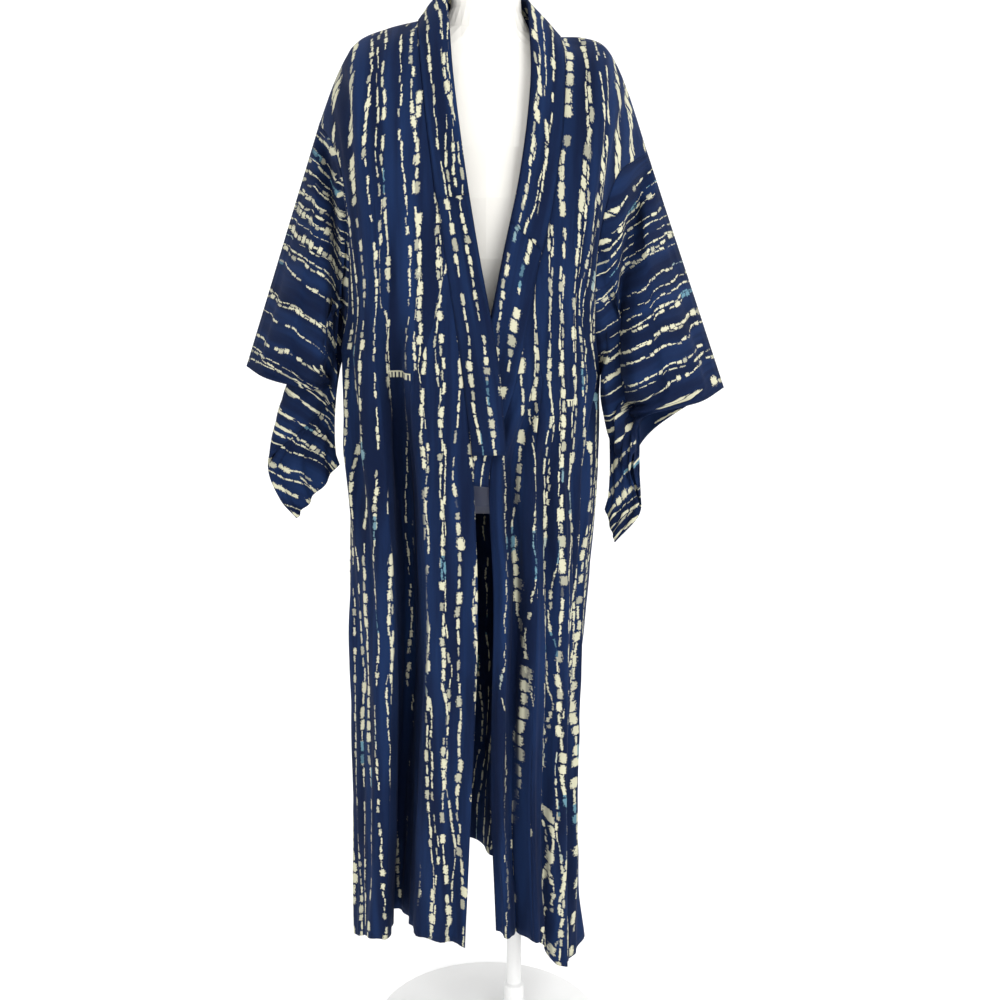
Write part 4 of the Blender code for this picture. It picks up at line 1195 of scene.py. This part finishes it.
class NodeSketch:
    """Short ways to add nodes and links to a material."""

    def __init__(self, name: str) -> None:
        """Starts a material with a plain shader."""
        self.material = bpy.data.materials.new(name)
        self.material.use_nodes = True
        self.tree = self.material.node_tree
        self.shader = self.tree.nodes["Principled BSDF"]
        self.made = 0

    def node(self, kind: str, **settings: object) -> bpy.types.Node:
        """Adds a node and sets its properties."""
        node = self.tree.nodes.new(kind)
        node.location = (-220 * (self.made // 6 + 2), 220 * (self.made % 6))
        self.made += 1
        for key, value in settings.items():
            setattr(node, key, value)
        return node

    def link(self, source: object, target: bpy.types.NodeSocket) -> None:
        """Links a number or socket to an input, or sets the input's value."""
        if isinstance(source, Signal):
            source = source.socket
        if isinstance(source, bpy.types.NodeSocket):
            self.tree.links.new(source, target)
        else:
            target.default_value = source

    def gloss(self, **values: object) -> None:
        """Sets the shader's own sockets, named in lower case with underscores."""
        sockets = {item.name.lower().replace(" ", "_"): item for item in self.shader.inputs}
        for name, value in values.items():
            sockets[name].default_value = value

    def math(self, operation: str, *values: object) -> Signal:
        """One math node."""
        node = self.node("ShaderNodeMath", operation=operation)
        for value, target in zip(values, node.inputs):
            self.link(value, target)
        return Signal(self, node.outputs[0])

    def split(self, place: bpy.types.NodeSocket) -> tuple[Signal, Signal, Signal]:
        """The three numbers of a vector."""
        node = self.node("ShaderNodeSeparateXYZ")
        self.link(place, node.inputs[0])
        x, y, z = (Signal(self, socket) for socket in node.outputs)
        return x, y, z

    def vector(self, x: object, y: object) -> bpy.types.NodeSocket:
        """A flat vector from two numbers."""
        node = self.node("ShaderNodeCombineXYZ")
        self.link(x, node.inputs[0])
        self.link(y, node.inputs[1])
        return node.outputs[0]

    def noise(self, place: object, scale: float = 1.0, detail: float = 2.0) -> Signal:
        """Smooth noise from 0 to 1."""
        node = self.node("ShaderNodeTexNoise")
        self.link(place, node.inputs["Vector"])
        node.inputs["Scale"].default_value = scale
        node.inputs["Detail"].default_value = detail
        return Signal(self, node.outputs[0])

    def white(self, x: object, y: object) -> Signal:
        """A random number for each whole pair of numbers."""
        node = self.node("ShaderNodeTexWhiteNoise", noise_dimensions="2D")
        self.link(self.vector(x, y), node.inputs["Vector"])
        return Signal(self, node.outputs["Value"])

    def mix(self, share: object, a: object, b: object) -> bpy.types.NodeSocket:
        """Mixes two colours, each plain or from a socket."""
        node = self.node("ShaderNodeMix", data_type="RGBA")
        self.link(share, node.inputs["Factor"])
        for colour, name in ((a, "A"), (b, "B")):
            self.link((*colour, 1) if isinstance(colour, tuple) else colour, node.inputs[name])
        return node.outputs["Result"]

    def bump(self, height: Signal, strength: float, depth: float) -> None:
        """Roughens the surface by a height."""
        node = self.node("ShaderNodeBump")
        node.inputs["Strength"].default_value = strength
        node.inputs["Distance"].default_value = depth
        self.link(height, node.inputs["Height"])
        self.link(node.outputs[0], self.shader.inputs["Normal"])


class DyedCotton(NodeSketch):
    """The robe's cloth, from each panel's own coordinates in metres."""

    def __init__(self, finish: DyeFinish, seed: float, mark: Tuck | None, spread: float) -> None:
        """Builds the material.

        Args:
            finish: Colours and gloss of the cloth.
            seed: Shifts the dashes so that panels differ.
            mark: The panel's stitched tuck, if it has one.
            spread: How much wider apart than usual the lines lie.
        """
        super().__init__(finish.name)
        self.finish = finish
        self.u, self.v, _ = self.split(self.node("ShaderNodeUVMap", uv_map="cloth").outputs[0])
        dye = self.all_dashes(seed, spread)
        # Painted shade: no dashes where the "plain" attribute marks the walls of a deep fold
        shaded_walls = self.node("ShaderNodeAttribute", attribute_name="plain").outputs["Fac"]
        dye = dye * Signal(self, shaded_walls).scaled(-1.0, 1.0)
        if mark is not None:
            dye = dye.at_least(self.tuck(mark))
        streak = self.grain_noise(self.u, self.v, finish.streak_scale, 3.0)
        tone = streak.ramp(*finish.streak_tone)
        ground = self.mix(tone, finish.indigo, finish.indigo_light)
        across, along = finish.teal_patch
        tint = self.white((self.u * across).floor(), (self.v * along).floor())
        cream = self.mix(tint.ramp(*finish.teal_share), finish.cream, finish.teal)
        self.link(self.mix(dye, ground, cream), self.shader.inputs["Base Color"])
        self.gloss(
            roughness=finish.roughness,
            sheen_weight=finish.sheen,
            sheen_roughness=finish.sheen_roughness,
            sheen_tint=(*finish.sheen_tint, 1),
            specular_ior_level=finish.specular,
        )
        self.weave(dye)

    def grain_noise(self, x: Signal, y: Signal, scale: Pair, detail: float = 2.0) -> Signal:
        """Smooth noise, scaled on its own along each way."""
        return self.noise(self.vector(x * scale[0], y * scale[1]), detail=detail)

    def all_dashes(self, seed: float, spread: float) -> Signal:
        """Broad and thin dashed lines, which cross here and there.

        Args:
            seed: Shifts the lines across the cloth.
            spread: How much wider apart than usual they lie.

        Returns:
            1 on a dash and 0 off it.
        """
        finish = self.finish
        stretch, scale, detail = finish.ragged_scale
        ragged = self.noise(self.vector(self.u * stretch, self.v), scale, detail)
        rough = ragged.scaled(finish.raggedness, -finish.raggedness / 2)
        across = self.u + seed
        drift = self.grain_noise(across, self.v, finish.drift_scale)
        swing = self.grain_noise(self.v, across, finish.swing_scale[::-1])
        broad = replace(
            finish.broad, pitch=finish.broad.pitch * spread, width=finish.broad.width * spread
        )
        thin = replace(finish.thin, pitch=finish.thin.pitch * spread)
        bent = self.dashes(drift.scaled(finish.drift, across), rough, broad)
        return bent.at_least(self.dashes(swing.scaled(finish.swing, across), rough, thin))

    def dashes(self, u: Signal, rough: Signal, kind: Dashes) -> Signal:
        """Broken, wandering lines of ragged dashes.

        Args:
            u: Distance across the lines.
            rough: Ragged shift of the dashes' edges, in metres.
            kind: Sizes of the dashes.

        Returns:
            1 on a dash and 0 off it.
        """
        shape = self.finish.dash

        # Each line's own thickness, length of dash and wandering course
        across = u / kind.pitch
        line = across.floor()
        own = self.white(line, kind.seed)
        other = self.white(line, kind.seed + shape.seed_steps[0])
        wander = self.grain_noise(line, self.v, shape.wander_scale)
        middle = other.scaled(*shape.middle) + wander.scaled(*shape.wander)
        off = (across.fract() - middle) * kind.pitch
        length = other.scaled(*shape.stretch) * kind.length

        # Each dash's own place and size
        sway = self.grain_noise(line, self.v, shape.sway_scale)
        along = self.v / length + own * shape.offset + sway * shape.sway
        number = along.floor()
        chance = self.white(line + kind.seed, number)
        again = self.white(number, line + (kind.seed + shape.seed_steps[1]))
        half = own.scaled(*shape.line_width) * kind.width
        half = half * (chance**shape.width_power).scaled(*shape.dash_width)

        # Rounded outline with torn edges
        off = abs(off + again.scaled(*shape.shift)) + rough * half.scaled(*shape.tear)
        place = abs(along.fract() - 0.5) + rough / length
        wide = (off.at_least(0.0) / half) ** shape.roundness[0]
        long = (place.at_least(0.0) / again.scaled(*shape.reach)) ** shape.roundness[1]
        dash = (wide + long).ramp(*shape.rim)

        # Missing dashes and lines, and paler dashes
        there = own.ramp(kind.absent, kind.absent + shape.absent_width)
        there = chance.ramp(*shape.missing) * there
        return dash * there * again.ramp(*shape.pale_ramp).scaled(*shape.pale)

    def tuck(self, mark: Tuck) -> Signal:
        """The stitched tuck: 1 on its line and strokes, and 0 off them."""
        half = mark.length / 2
        wide = abs(self.u - mark.across).ramp(half, half - mark.end)
        down = self.v.scaled(-1.0, mark.along)
        line = abs(down).ramp(*mark.line_edge)
        stroke = abs((self.u / mark.stroke_pitch).fract() - 0.5).ramp(*mark.stroke_edge)
        hang = down.ramp(*mark.stroke_start) * down.ramp(*mark.stroke_end)
        return wide * line.at_least(stroke * hang)

    def weave(self, dye: Signal) -> None:
        """Plain weave and slubs, as a bump, with the dashes a little raised."""
        finish = self.finish
        warp = (self.u * (2 * math.pi / finish.warp_pitch)).sine()
        weft = (self.v * (2 * math.pi / finish.weft_pitch)).sine()
        slub = self.grain_noise(self.u, self.v, finish.slub_scale)
        height = dye.scaled(finish.dash_height, (warp * weft).scaled(finish.weave_height, slub))
        self.bump(height, finish.bump_strength, finish.bump_depth)


class Painted(NodeSketch):
    """A smooth surface with slight mottling, and painted shade below a height if the finish gives
    one.
    """

    def __init__(self, finish: PaintFinish) -> None:
        """Builds the material."""
        super().__init__(finish.name)
        place = self.node("ShaderNodeTexCoord").outputs["Object"]
        dark = tuple(c * (1 - finish.mottle) for c in finish.color)
        tone = self.noise(place, finish.mottle_scale, 4.0).ramp(*finish.mottle_tone)
        paint = self.mix(tone, dark, finish.color)
        # Painted shade: the surface turns dark slate below the finish's height
        if finish.shade_height is not None:
            _, _, height = self.split(place)
            low = height.ramp(finish.shade_height + 0.001, finish.shade_height)
            paint = self.mix(low, paint, finish.shade_color)
        self.link(paint, self.shader.inputs["Base Color"])
        self.gloss(roughness=finish.roughness, coat_weight=finish.coat)
        grain = self.noise(place, finish.bump_scale, 3.0)
        self.bump(grain, finish.bump_strength, finish.bump_depth)


# Pieces


@dataclass
class ClothPanel:
    """One panel: grids of points with cloth coordinates, made into a thin shell."""

    name: str
    wall: float
    seed: float
    mark: Tuck | None = None
    spread: float = 1.0
    grids: list[tuple[np.ndarray, np.ndarray]] = field(default_factory=list)

    def add(self, points: np.ndarray, cloth: np.ndarray, flip: bool) -> None:
        """Adds a grid of points with its cloth coordinates, wound to face outwards."""
        if flip:
            points, cloth = points[:, ::-1], cloth[:, ::-1]
        self.grids.append((points, cloth))

    def build(self, finish: DyeFinish) -> bpy.types.Object:
        """Makes the object.

        Args:
            finish: The cloth's finish.

        Returns:
            The panel, welded where its grids meet, with its thickness.
        """
        sheet = bmesh.new()
        layer = sheet.loops.layers.uv.new("cloth")
        # The "plain" layer carries painted shade: 1 on a deep fold's walls, where the dashes are
        # left out
        plain = sheet.verts.layers.float.new("plain")
        for points, cloth in self.grids:
            rows, columns = points.shape[:2]
            made = bmesh.ops.create_grid(
                sheet, x_segments=columns - 1, y_segments=rows - 1, size=0.5
            )["verts"]
            ordered = sorted(made, key=lambda v: (round(v.co.y, 6), round(v.co.x, 6)))
            where = {v: divmod(k, columns) for k, v in enumerate(ordered)}
            for face in {f for v in made for f in v.link_faces}:
                for loop in face.loops:
                    loop[layer].uv = cloth[where[loop.vert]][:2]
            for vert, (i, j) in where.items():
                vert.co = Vector(points[i, j])
                vert[plain] = float(cloth[i, j, 2]) if cloth.shape[2] > 2 else 0.0
        bmesh.ops.remove_doubles(sheet, verts=sheet.verts[:], dist=WELD)
        mesh = bpy.data.meshes.new(self.name)
        sheet.to_mesh(mesh)
        sheet.free()
        mesh.shade_smooth()
        mesh.materials.append(DyedCotton(finish, self.seed, self.mark, self.spread).material)
        obj = bpy.data.objects.new(self.name, mesh)
        bpy.context.scene.collection.objects.link(obj)
        shell = obj.modifiers.new("cloth", "SOLIDIFY")
        shell.thickness = self.wall
        shell.offset = 0.0
        return obj


def cloth_coordinates(across: np.ndarray, grid: np.ndarray, start: float = 0.0) -> np.ndarray:
    """Cloth coordinates of a grid of points.

    Args:
        across: Distance of each point across the cloth.
        grid: The points, whose rows' mean distances are added up along the cloth.
        start: Distance along the cloth of the first row.

    Returns:
        The distances across and along.
    """
    lengths = np.linalg.norm(np.diff(grid, axis=0), axis=2).mean(axis=1)
    v = start + np.concatenate([[0.0], np.cumsum(lengths)])
    return np.stack([across, np.broadcast_to(v[:, None], across.shape)], axis=2)


@dataclass
class Yukata:
    """The whole robe."""

    finish: DyeFinish = DyeFinish()
    wall: float = 0.0012

    # Collar band and over-collar
    collar_wall: float = 0.0030
    collar_gap: float = 0.0004
    collar_crumple: float = 0.0006
    collar_folds: CrumpleField = CrumpleField(61, 0.05, 6.0)
    collar_dashes: float = 4.418
    over_collar_dashes: float = 8.345
    turned_edge: float = 0.03

    # Soft folds of the panels, which fade at the seams: height, length and stretch
    folds: Triple = (0.0042, 0.095, 6.0)
    small_folds: Triple = (0.0012, 0.036, 4.0)
    seam_fade: Pair = (0.0, 0.03)
    back_seed_step: int = 20

    # How the dashes lie on the panels, and where they are left out on a steep fold's walls as
    # painted shade
    front_grain: float = 0.25
    foot_grain: float = 0.004
    sleeve_spread: float = 1.15
    fold_shade_steepness: Pair = (0.55, 0.30)
    least_step: float = 1e-5

    def build(self) -> None:
        """Makes every panel."""
        sides = [Garment(plan) for plan in (RIGHT_PLAN, LEFT_PLAN)]
        for garment in sides:
            self._body(garment)
            self._overlap(garment)
            self._sleeve(garment)
        self._collars(*sides)

    def _with_plain(self, garment: Garment, first: int, cloth: np.ndarray) -> np.ndarray:
        """Adds painted shade: where the cloth goes into the deep fold, its dashes are left out.

        Args:
            garment: One side of the robe.
            first: The panel's first column of the front.
            cloth: The panel's cloth coordinates.

        Returns:
            The coordinates with a third number, 1 in the fold where the dashes are left out as
            painted shade and 0 elsewhere.
        """
        rows, columns = cloth.shape[:2]
        step = np.linalg.norm(np.diff(garment.front[:, :, :2], axis=1), axis=2)
        moved = np.abs(np.diff(garment.front_u, axis=1))
        least = self.least_step
        steep = np.where(step > least, moved / np.maximum(step, least), 1.0)
        steep = np.concatenate([steep, steep[:, -1:]], axis=1)[:rows, first : first + columns]
        plain = smooth_ramp(steep, *self.fold_shade_steepness)
        plain *= np.concatenate([LOW_ROWS, HIGH_ROWS[1:]])[:rows, None] < ROW_ARMPIT + 1
        return np.concatenate([cloth, plain[:, :, None]], axis=2)

    def _crumpled(self, grid: np.ndarray, seed: int, first_edge: bool = True) -> np.ndarray:
        """Adds soft uneven folds that fade out at the seams.

        Args:
            grid: Points of the panel.
            seed: Sets the folds.
            first_edge: Whether the folds fade at the first column as at the last.

        Returns:
            The folded panel.
        """
        width = np.linalg.norm(np.diff(grid, axis=1), axis=2).sum(axis=1)
        u = np.linspace(0, 1, grid.shape[1])[None, :] * width[:, None]
        height = np.zeros_like(u)
        for k, (amount, *waves) in enumerate((self.folds, self.small_folds)):
            height += amount * CrumpleField(seed + k, *waves).at(u, grid[:, :, 2])
        height *= smooth_ramp(width[:, None] - u, *self.seam_fade)
        if first_edge:
            height *= smooth_ramp(u, *self.seam_fade)
        return grid + grid_normals(grid) * height[:, :, None]

    def _body(self, garment: Garment) -> None:
        """Body panel: front, and back over the shoulder."""
        side, seeds = garment.plan.side, garment.plan.body
        front = garment.front[:, OVERLAP_COLUMNS:]
        across = garment.front_u[:, OVERLAP_COLUMNS:] + self.front_grain
        cloth = cloth_coordinates(across, front)
        back_cloth = cloth_coordinates(garment.back_u, garment.back[::-1], cloth[-1, 0, 1])[::-1]
        ridge = front[-1]
        front = self._crumpled(front, seeds.folds)
        back = self._crumpled(garment.back, seeds.folds + self.back_seed_step)
        front[-1] = back[-1, NECK_COLUMNS:] = ridge
        x, z, length = garment.plan.tuck
        near = np.hypot(front[:, :, 0] - x, front[:, :, 2] - z).argmin()
        mark = Tuck(*(float(c) for c in cloth.reshape(-1, 2)[near]), length)
        panel = ClothPanel(f"body_panel_{side.value}", self.wall, seeds.dashes, mark)
        cloth = self._with_plain(garment, OVERLAP_COLUMNS, cloth)
        panel.add(front, cloth, side is Side.RIGHT)
        panel.add(back, back_cloth, side is Side.LEFT)
        self._place(panel, "body_" + side.value)

    def _overlap(self, garment: Garment) -> None:
        """Front overlap panel, which ends in a point under the collar."""
        side, seeds = garment.plan.side, garment.plan.overlap
        rows, columns = slice(ROW_TIP * FINE + 1), slice(OVERLAP_COLUMNS + 1)
        grid = garment.front[rows, columns]
        cloth = cloth_coordinates(garment.front_u[rows, columns], grid)
        grid = self._crumpled(grid, seeds.folds, False)
        panel = ClothPanel(f"overlap_panel_{side.value}", self.wall, seeds.dashes)
        panel.add(grid, self._with_plain(garment, 0, cloth), side is Side.RIGHT)
        self._place(panel, "overlap_" + side.value)

    def _sleeve(self, garment: Garment) -> None:
        """Sleeve bag, closed at its foot."""
        side, seeds = garment.plan.side, garment.plan.sleeve
        grid, cloth = SleeveShape(garment).build()
        name = f"sleeve_bag_{side.value}"
        panel = ClothPanel(name, self.wall, seeds.dashes, spread=self.sleeve_spread)
        panel.add(grid, cloth, side is Side.LEFT)
        foot = cloth[:, [0, 0]] + np.array([[0.0, 0.0], [0.0, self.foot_grain]])
        panel.add(grid[:, [-1, 0]], foot, side is Side.LEFT)
        self._place(panel, "sleeve_" + side.value)

    def _collars(self, right: Garment, left: Garment) -> None:
        """Collar band folded double round the neck, and the over-collar laid on it."""
        strips = []
        t = np.linspace(0, 1, COLLAR_POINTS)[None, :, None]
        for garment in (right, left):
            edge = flowing_curve(garment.plan.collar_edge, garment.collar_rows())
            strips.append(garment.collar_seam()[:, None] * (1 - t) + edge[:, None] * t)
        strips[1][-1] = strips[0][-1]
        band = np.concatenate([strips[0], strips[1][-2::-1]])
        columns = np.broadcast_to(t[0, :, 0], band.shape[:2])
        cloth = cloth_coordinates(columns * COLLAR_WIDTH, band)
        normals = grid_normals(band)
        crumple = self.collar_crumple * self.collar_folds.at(cloth[:, :, 0], cloth[:, :, 1])
        band = band + normals * (crumple * np.sin(math.pi * columns))[:, :, None]
        self._collar(band, normals, columns, cloth)
        first = int((right.plan.over_collar_row - ROW_COLLAR_END) * FINE)
        last = len(band) - int((left.plan.over_collar_row - ROW_COLLAR_END) * FINE)
        rise = (self.collar_wall + self.wall) / 2 + self.collar_gap
        panel = ClothPanel("over_collar_band", self.wall, self.over_collar_dashes)
        panel.add((band - normals * rise)[first:last], cloth[first:last], False)
        self._place(panel, "over_collar")

    def _collar(
        self, band: np.ndarray, normals: np.ndarray, columns: np.ndarray, cloth: np.ndarray
    ) -> None:
        """Collar band, folded double with a rounded outer edge.

        Args:
            band: Points of its middle surface.
            normals: Unit normals there.
            columns: Share of its width there.
            cloth: Cloth coordinates there.
        """
        half = (self.collar_wall - self.wall) / 2
        last = np.clip((columns - (1 - self.turned_edge)) / self.turned_edge, 0, 1)
        rounded = half * np.sqrt(1 - last**2)
        outer, inner = (band - sign * normals * rounded[:, :, None] for sign in (1, -1))
        turned = cloth[:, ::-1].copy()
        turned[:, :, 0] = 2 * COLLAR_WIDTH - turned[:, :, 0]
        folded = np.concatenate([outer, inner[:, -2::-1]], axis=1)
        panel = ClothPanel("collar_band", self.wall, self.collar_dashes)
        panel.add(folded, np.concatenate([cloth, turned[:, 1:]], axis=1), False)
        self._place(panel, "collar")

    def _place(
        self,
        panel: ClothPanel,
        node: str,
    ) -> None:
        """Builds a panel, attaches it to the root and hides the solid that it takes the place of.

        Args:
            panel: The panel.
            node: The solid that it takes the place of.
        """
        obj = panel.build(self.finish)
        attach(obj, "root")
        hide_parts(node)
        LOG.info("%s: %d faces", panel.name, len(obj.data.polygons))


@dataclass(frozen=True)
class FormAndStand:
    """Finishes of the dress form, pole and base."""

    # Below 0.974 m the form is painted dark slate, as painted shade
    form: PaintFinish = PaintFinish("form_skin", (0.83, 0.81, 0.76), 0.42, 0.05, 0.15, 0.974)
    metal: PaintFinish = PaintFinish("white_powder_coat", (0.88, 0.88, 0.87), 0.40, 0.03, 0.1)

    def build(self) -> None:
        """Gives each carried-over node its finish."""
        form, metal = Painted(self.form).material, Painted(self.metal).material
        for name, material in (("dress_form", form), ("stand_pole", metal), ("stand_base", metal)):
            for slot in bpy.data.objects[name].material_slots:
                slot.material = material
            LOG.info("%s: %s", name, material.name)


@dataclass(frozen=True)
class SoftLight:
    """A square area light aimed at the robe."""

    name: str
    place: Triple
    target: Triple
    size: float
    watts: float

    def build(self) -> None:
        """Adds the light."""
        data = bpy.data.lights.new(self.name, "AREA")
        data.shape = "SQUARE"
        data.size = self.size
        data.energy = self.watts
        lamp = bpy.data.objects.new(self.name, data)
        lamp.location = self.place
        way = Vector(self.target) - Vector(self.place)
        lamp.rotation_euler = way.to_track_quat("-Z", "Y").to_euler()
        bpy.context.scene.collection.objects.link(lamp)


@dataclass(frozen=True)
class Studio:
    """Pale floor and backdrop, soft lights and the camera."""

    distance: float = 2.40
    height: float = 1.44
    aside: float = 0.021
    pitch: float = 12.0
    lens: float = 54.72
    sensor: float = 36.0
    sky: float = 0.88
    floor_half: float = 9.0
    floor_steps: int = 80
    flat_radius: float = 3.2
    rise: float = 0.22
    floor_tones: Pair = (0.93, 0.96)
    floor_roughness: float = 0.9
    floor_glow: float = 0.18
    lights: tuple[SoftLight, ...] = (
        SoftLight("key_light", (1.5, -2.5, 3.0), (0.0, 0.0, 1.1), 1.2, 56.0),
        SoftLight("fill_light", (0.3, -3.2, 1.2), (0.0, 0.0, 0.8), 0.9, 6.0),
        SoftLight("top_light", (0.2, 0.6, 3.4), (0.0, 0.0, 1.0), 1.6, 10.0),
    )

    def build(self) -> None:
        """Adds everything."""
        self._camera()
        for light in self.lights:
            light.build()
        self._world()
        self._sweep()

    def _camera(self) -> None:
        """Adds the camera at the photograph's viewing angle."""
        data = bpy.data.cameras.new("camera")
        data.lens = self.lens
        data.sensor_width = self.sensor
        camera = bpy.data.objects.new("camera", data)
        camera.location = (self.aside, -self.distance, self.height)
        camera.rotation_euler = (math.radians(90.0 - self.pitch), 0.0, 0.0)
        bpy.context.scene.collection.objects.link(camera)
        bpy.context.scene.camera = camera

    def _world(self) -> None:
        """Sets an even white sky and plain tones."""
        world = bpy.data.worlds.new("studio")
        world.use_nodes = True
        sky = world.node_tree.nodes["Background"]
        sky.inputs[0].default_value = (1.0, 1.0, 1.0, 1.0)
        sky.inputs[1].default_value = self.sky
        bpy.context.scene.world = world
        bpy.context.scene.view_settings.view_transform = "Standard"

    def _sweep(self) -> None:
        """Adds a pale matt floor that curves up into a backdrop."""
        floor = bmesh.new()
        steps = self.floor_steps
        bmesh.ops.create_grid(floor, x_segments=steps, y_segments=steps, size=self.floor_half)
        for vert in floor.verts:
            beyond = max(0.0, math.hypot(vert.co.x, vert.co.y) - self.flat_radius)
            vert.co.z = self.rise * beyond * beyond
        mesh = bpy.data.meshes.new("floor")
        floor.to_mesh(mesh)
        floor.free()
        mesh.shade_smooth()
        mesh.materials.append(self._floor_finish())
        obj = bpy.data.objects.new("floor", mesh)
        bpy.context.scene.collection.objects.link(obj)

    def _floor_finish(self) -> bpy.types.Material:
        """The floor's pale, faintly glowing finish."""
        finish = NodeSketch("pale_floor")
        place = finish.node("ShaderNodeTexCoord").outputs["Object"]
        low, high = ((tone, tone, tone) for tone in self.floor_tones)
        tone = finish.mix(finish.noise(place, 1.5), low, high)
        finish.link(tone, finish.shader.inputs["Base Color"])
        finish.gloss(
            roughness=self.floor_roughness,
            emission_color=(1.0, 1.0, 1.0, 1.0),
            emission_strength=self.floor_glow,
        )
        return finish.material


def main() -> None:
    """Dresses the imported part."""
    logging.basicConfig(level=logging.INFO, format="%(name)s: %(message)s")
    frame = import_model()
    LOG.info("solids: %s", ", ".join(frame["nodes"]))
    Yukata().build()
    FormAndStand().build()
    Studio().build()


if __name__ == "__main__":
    main()
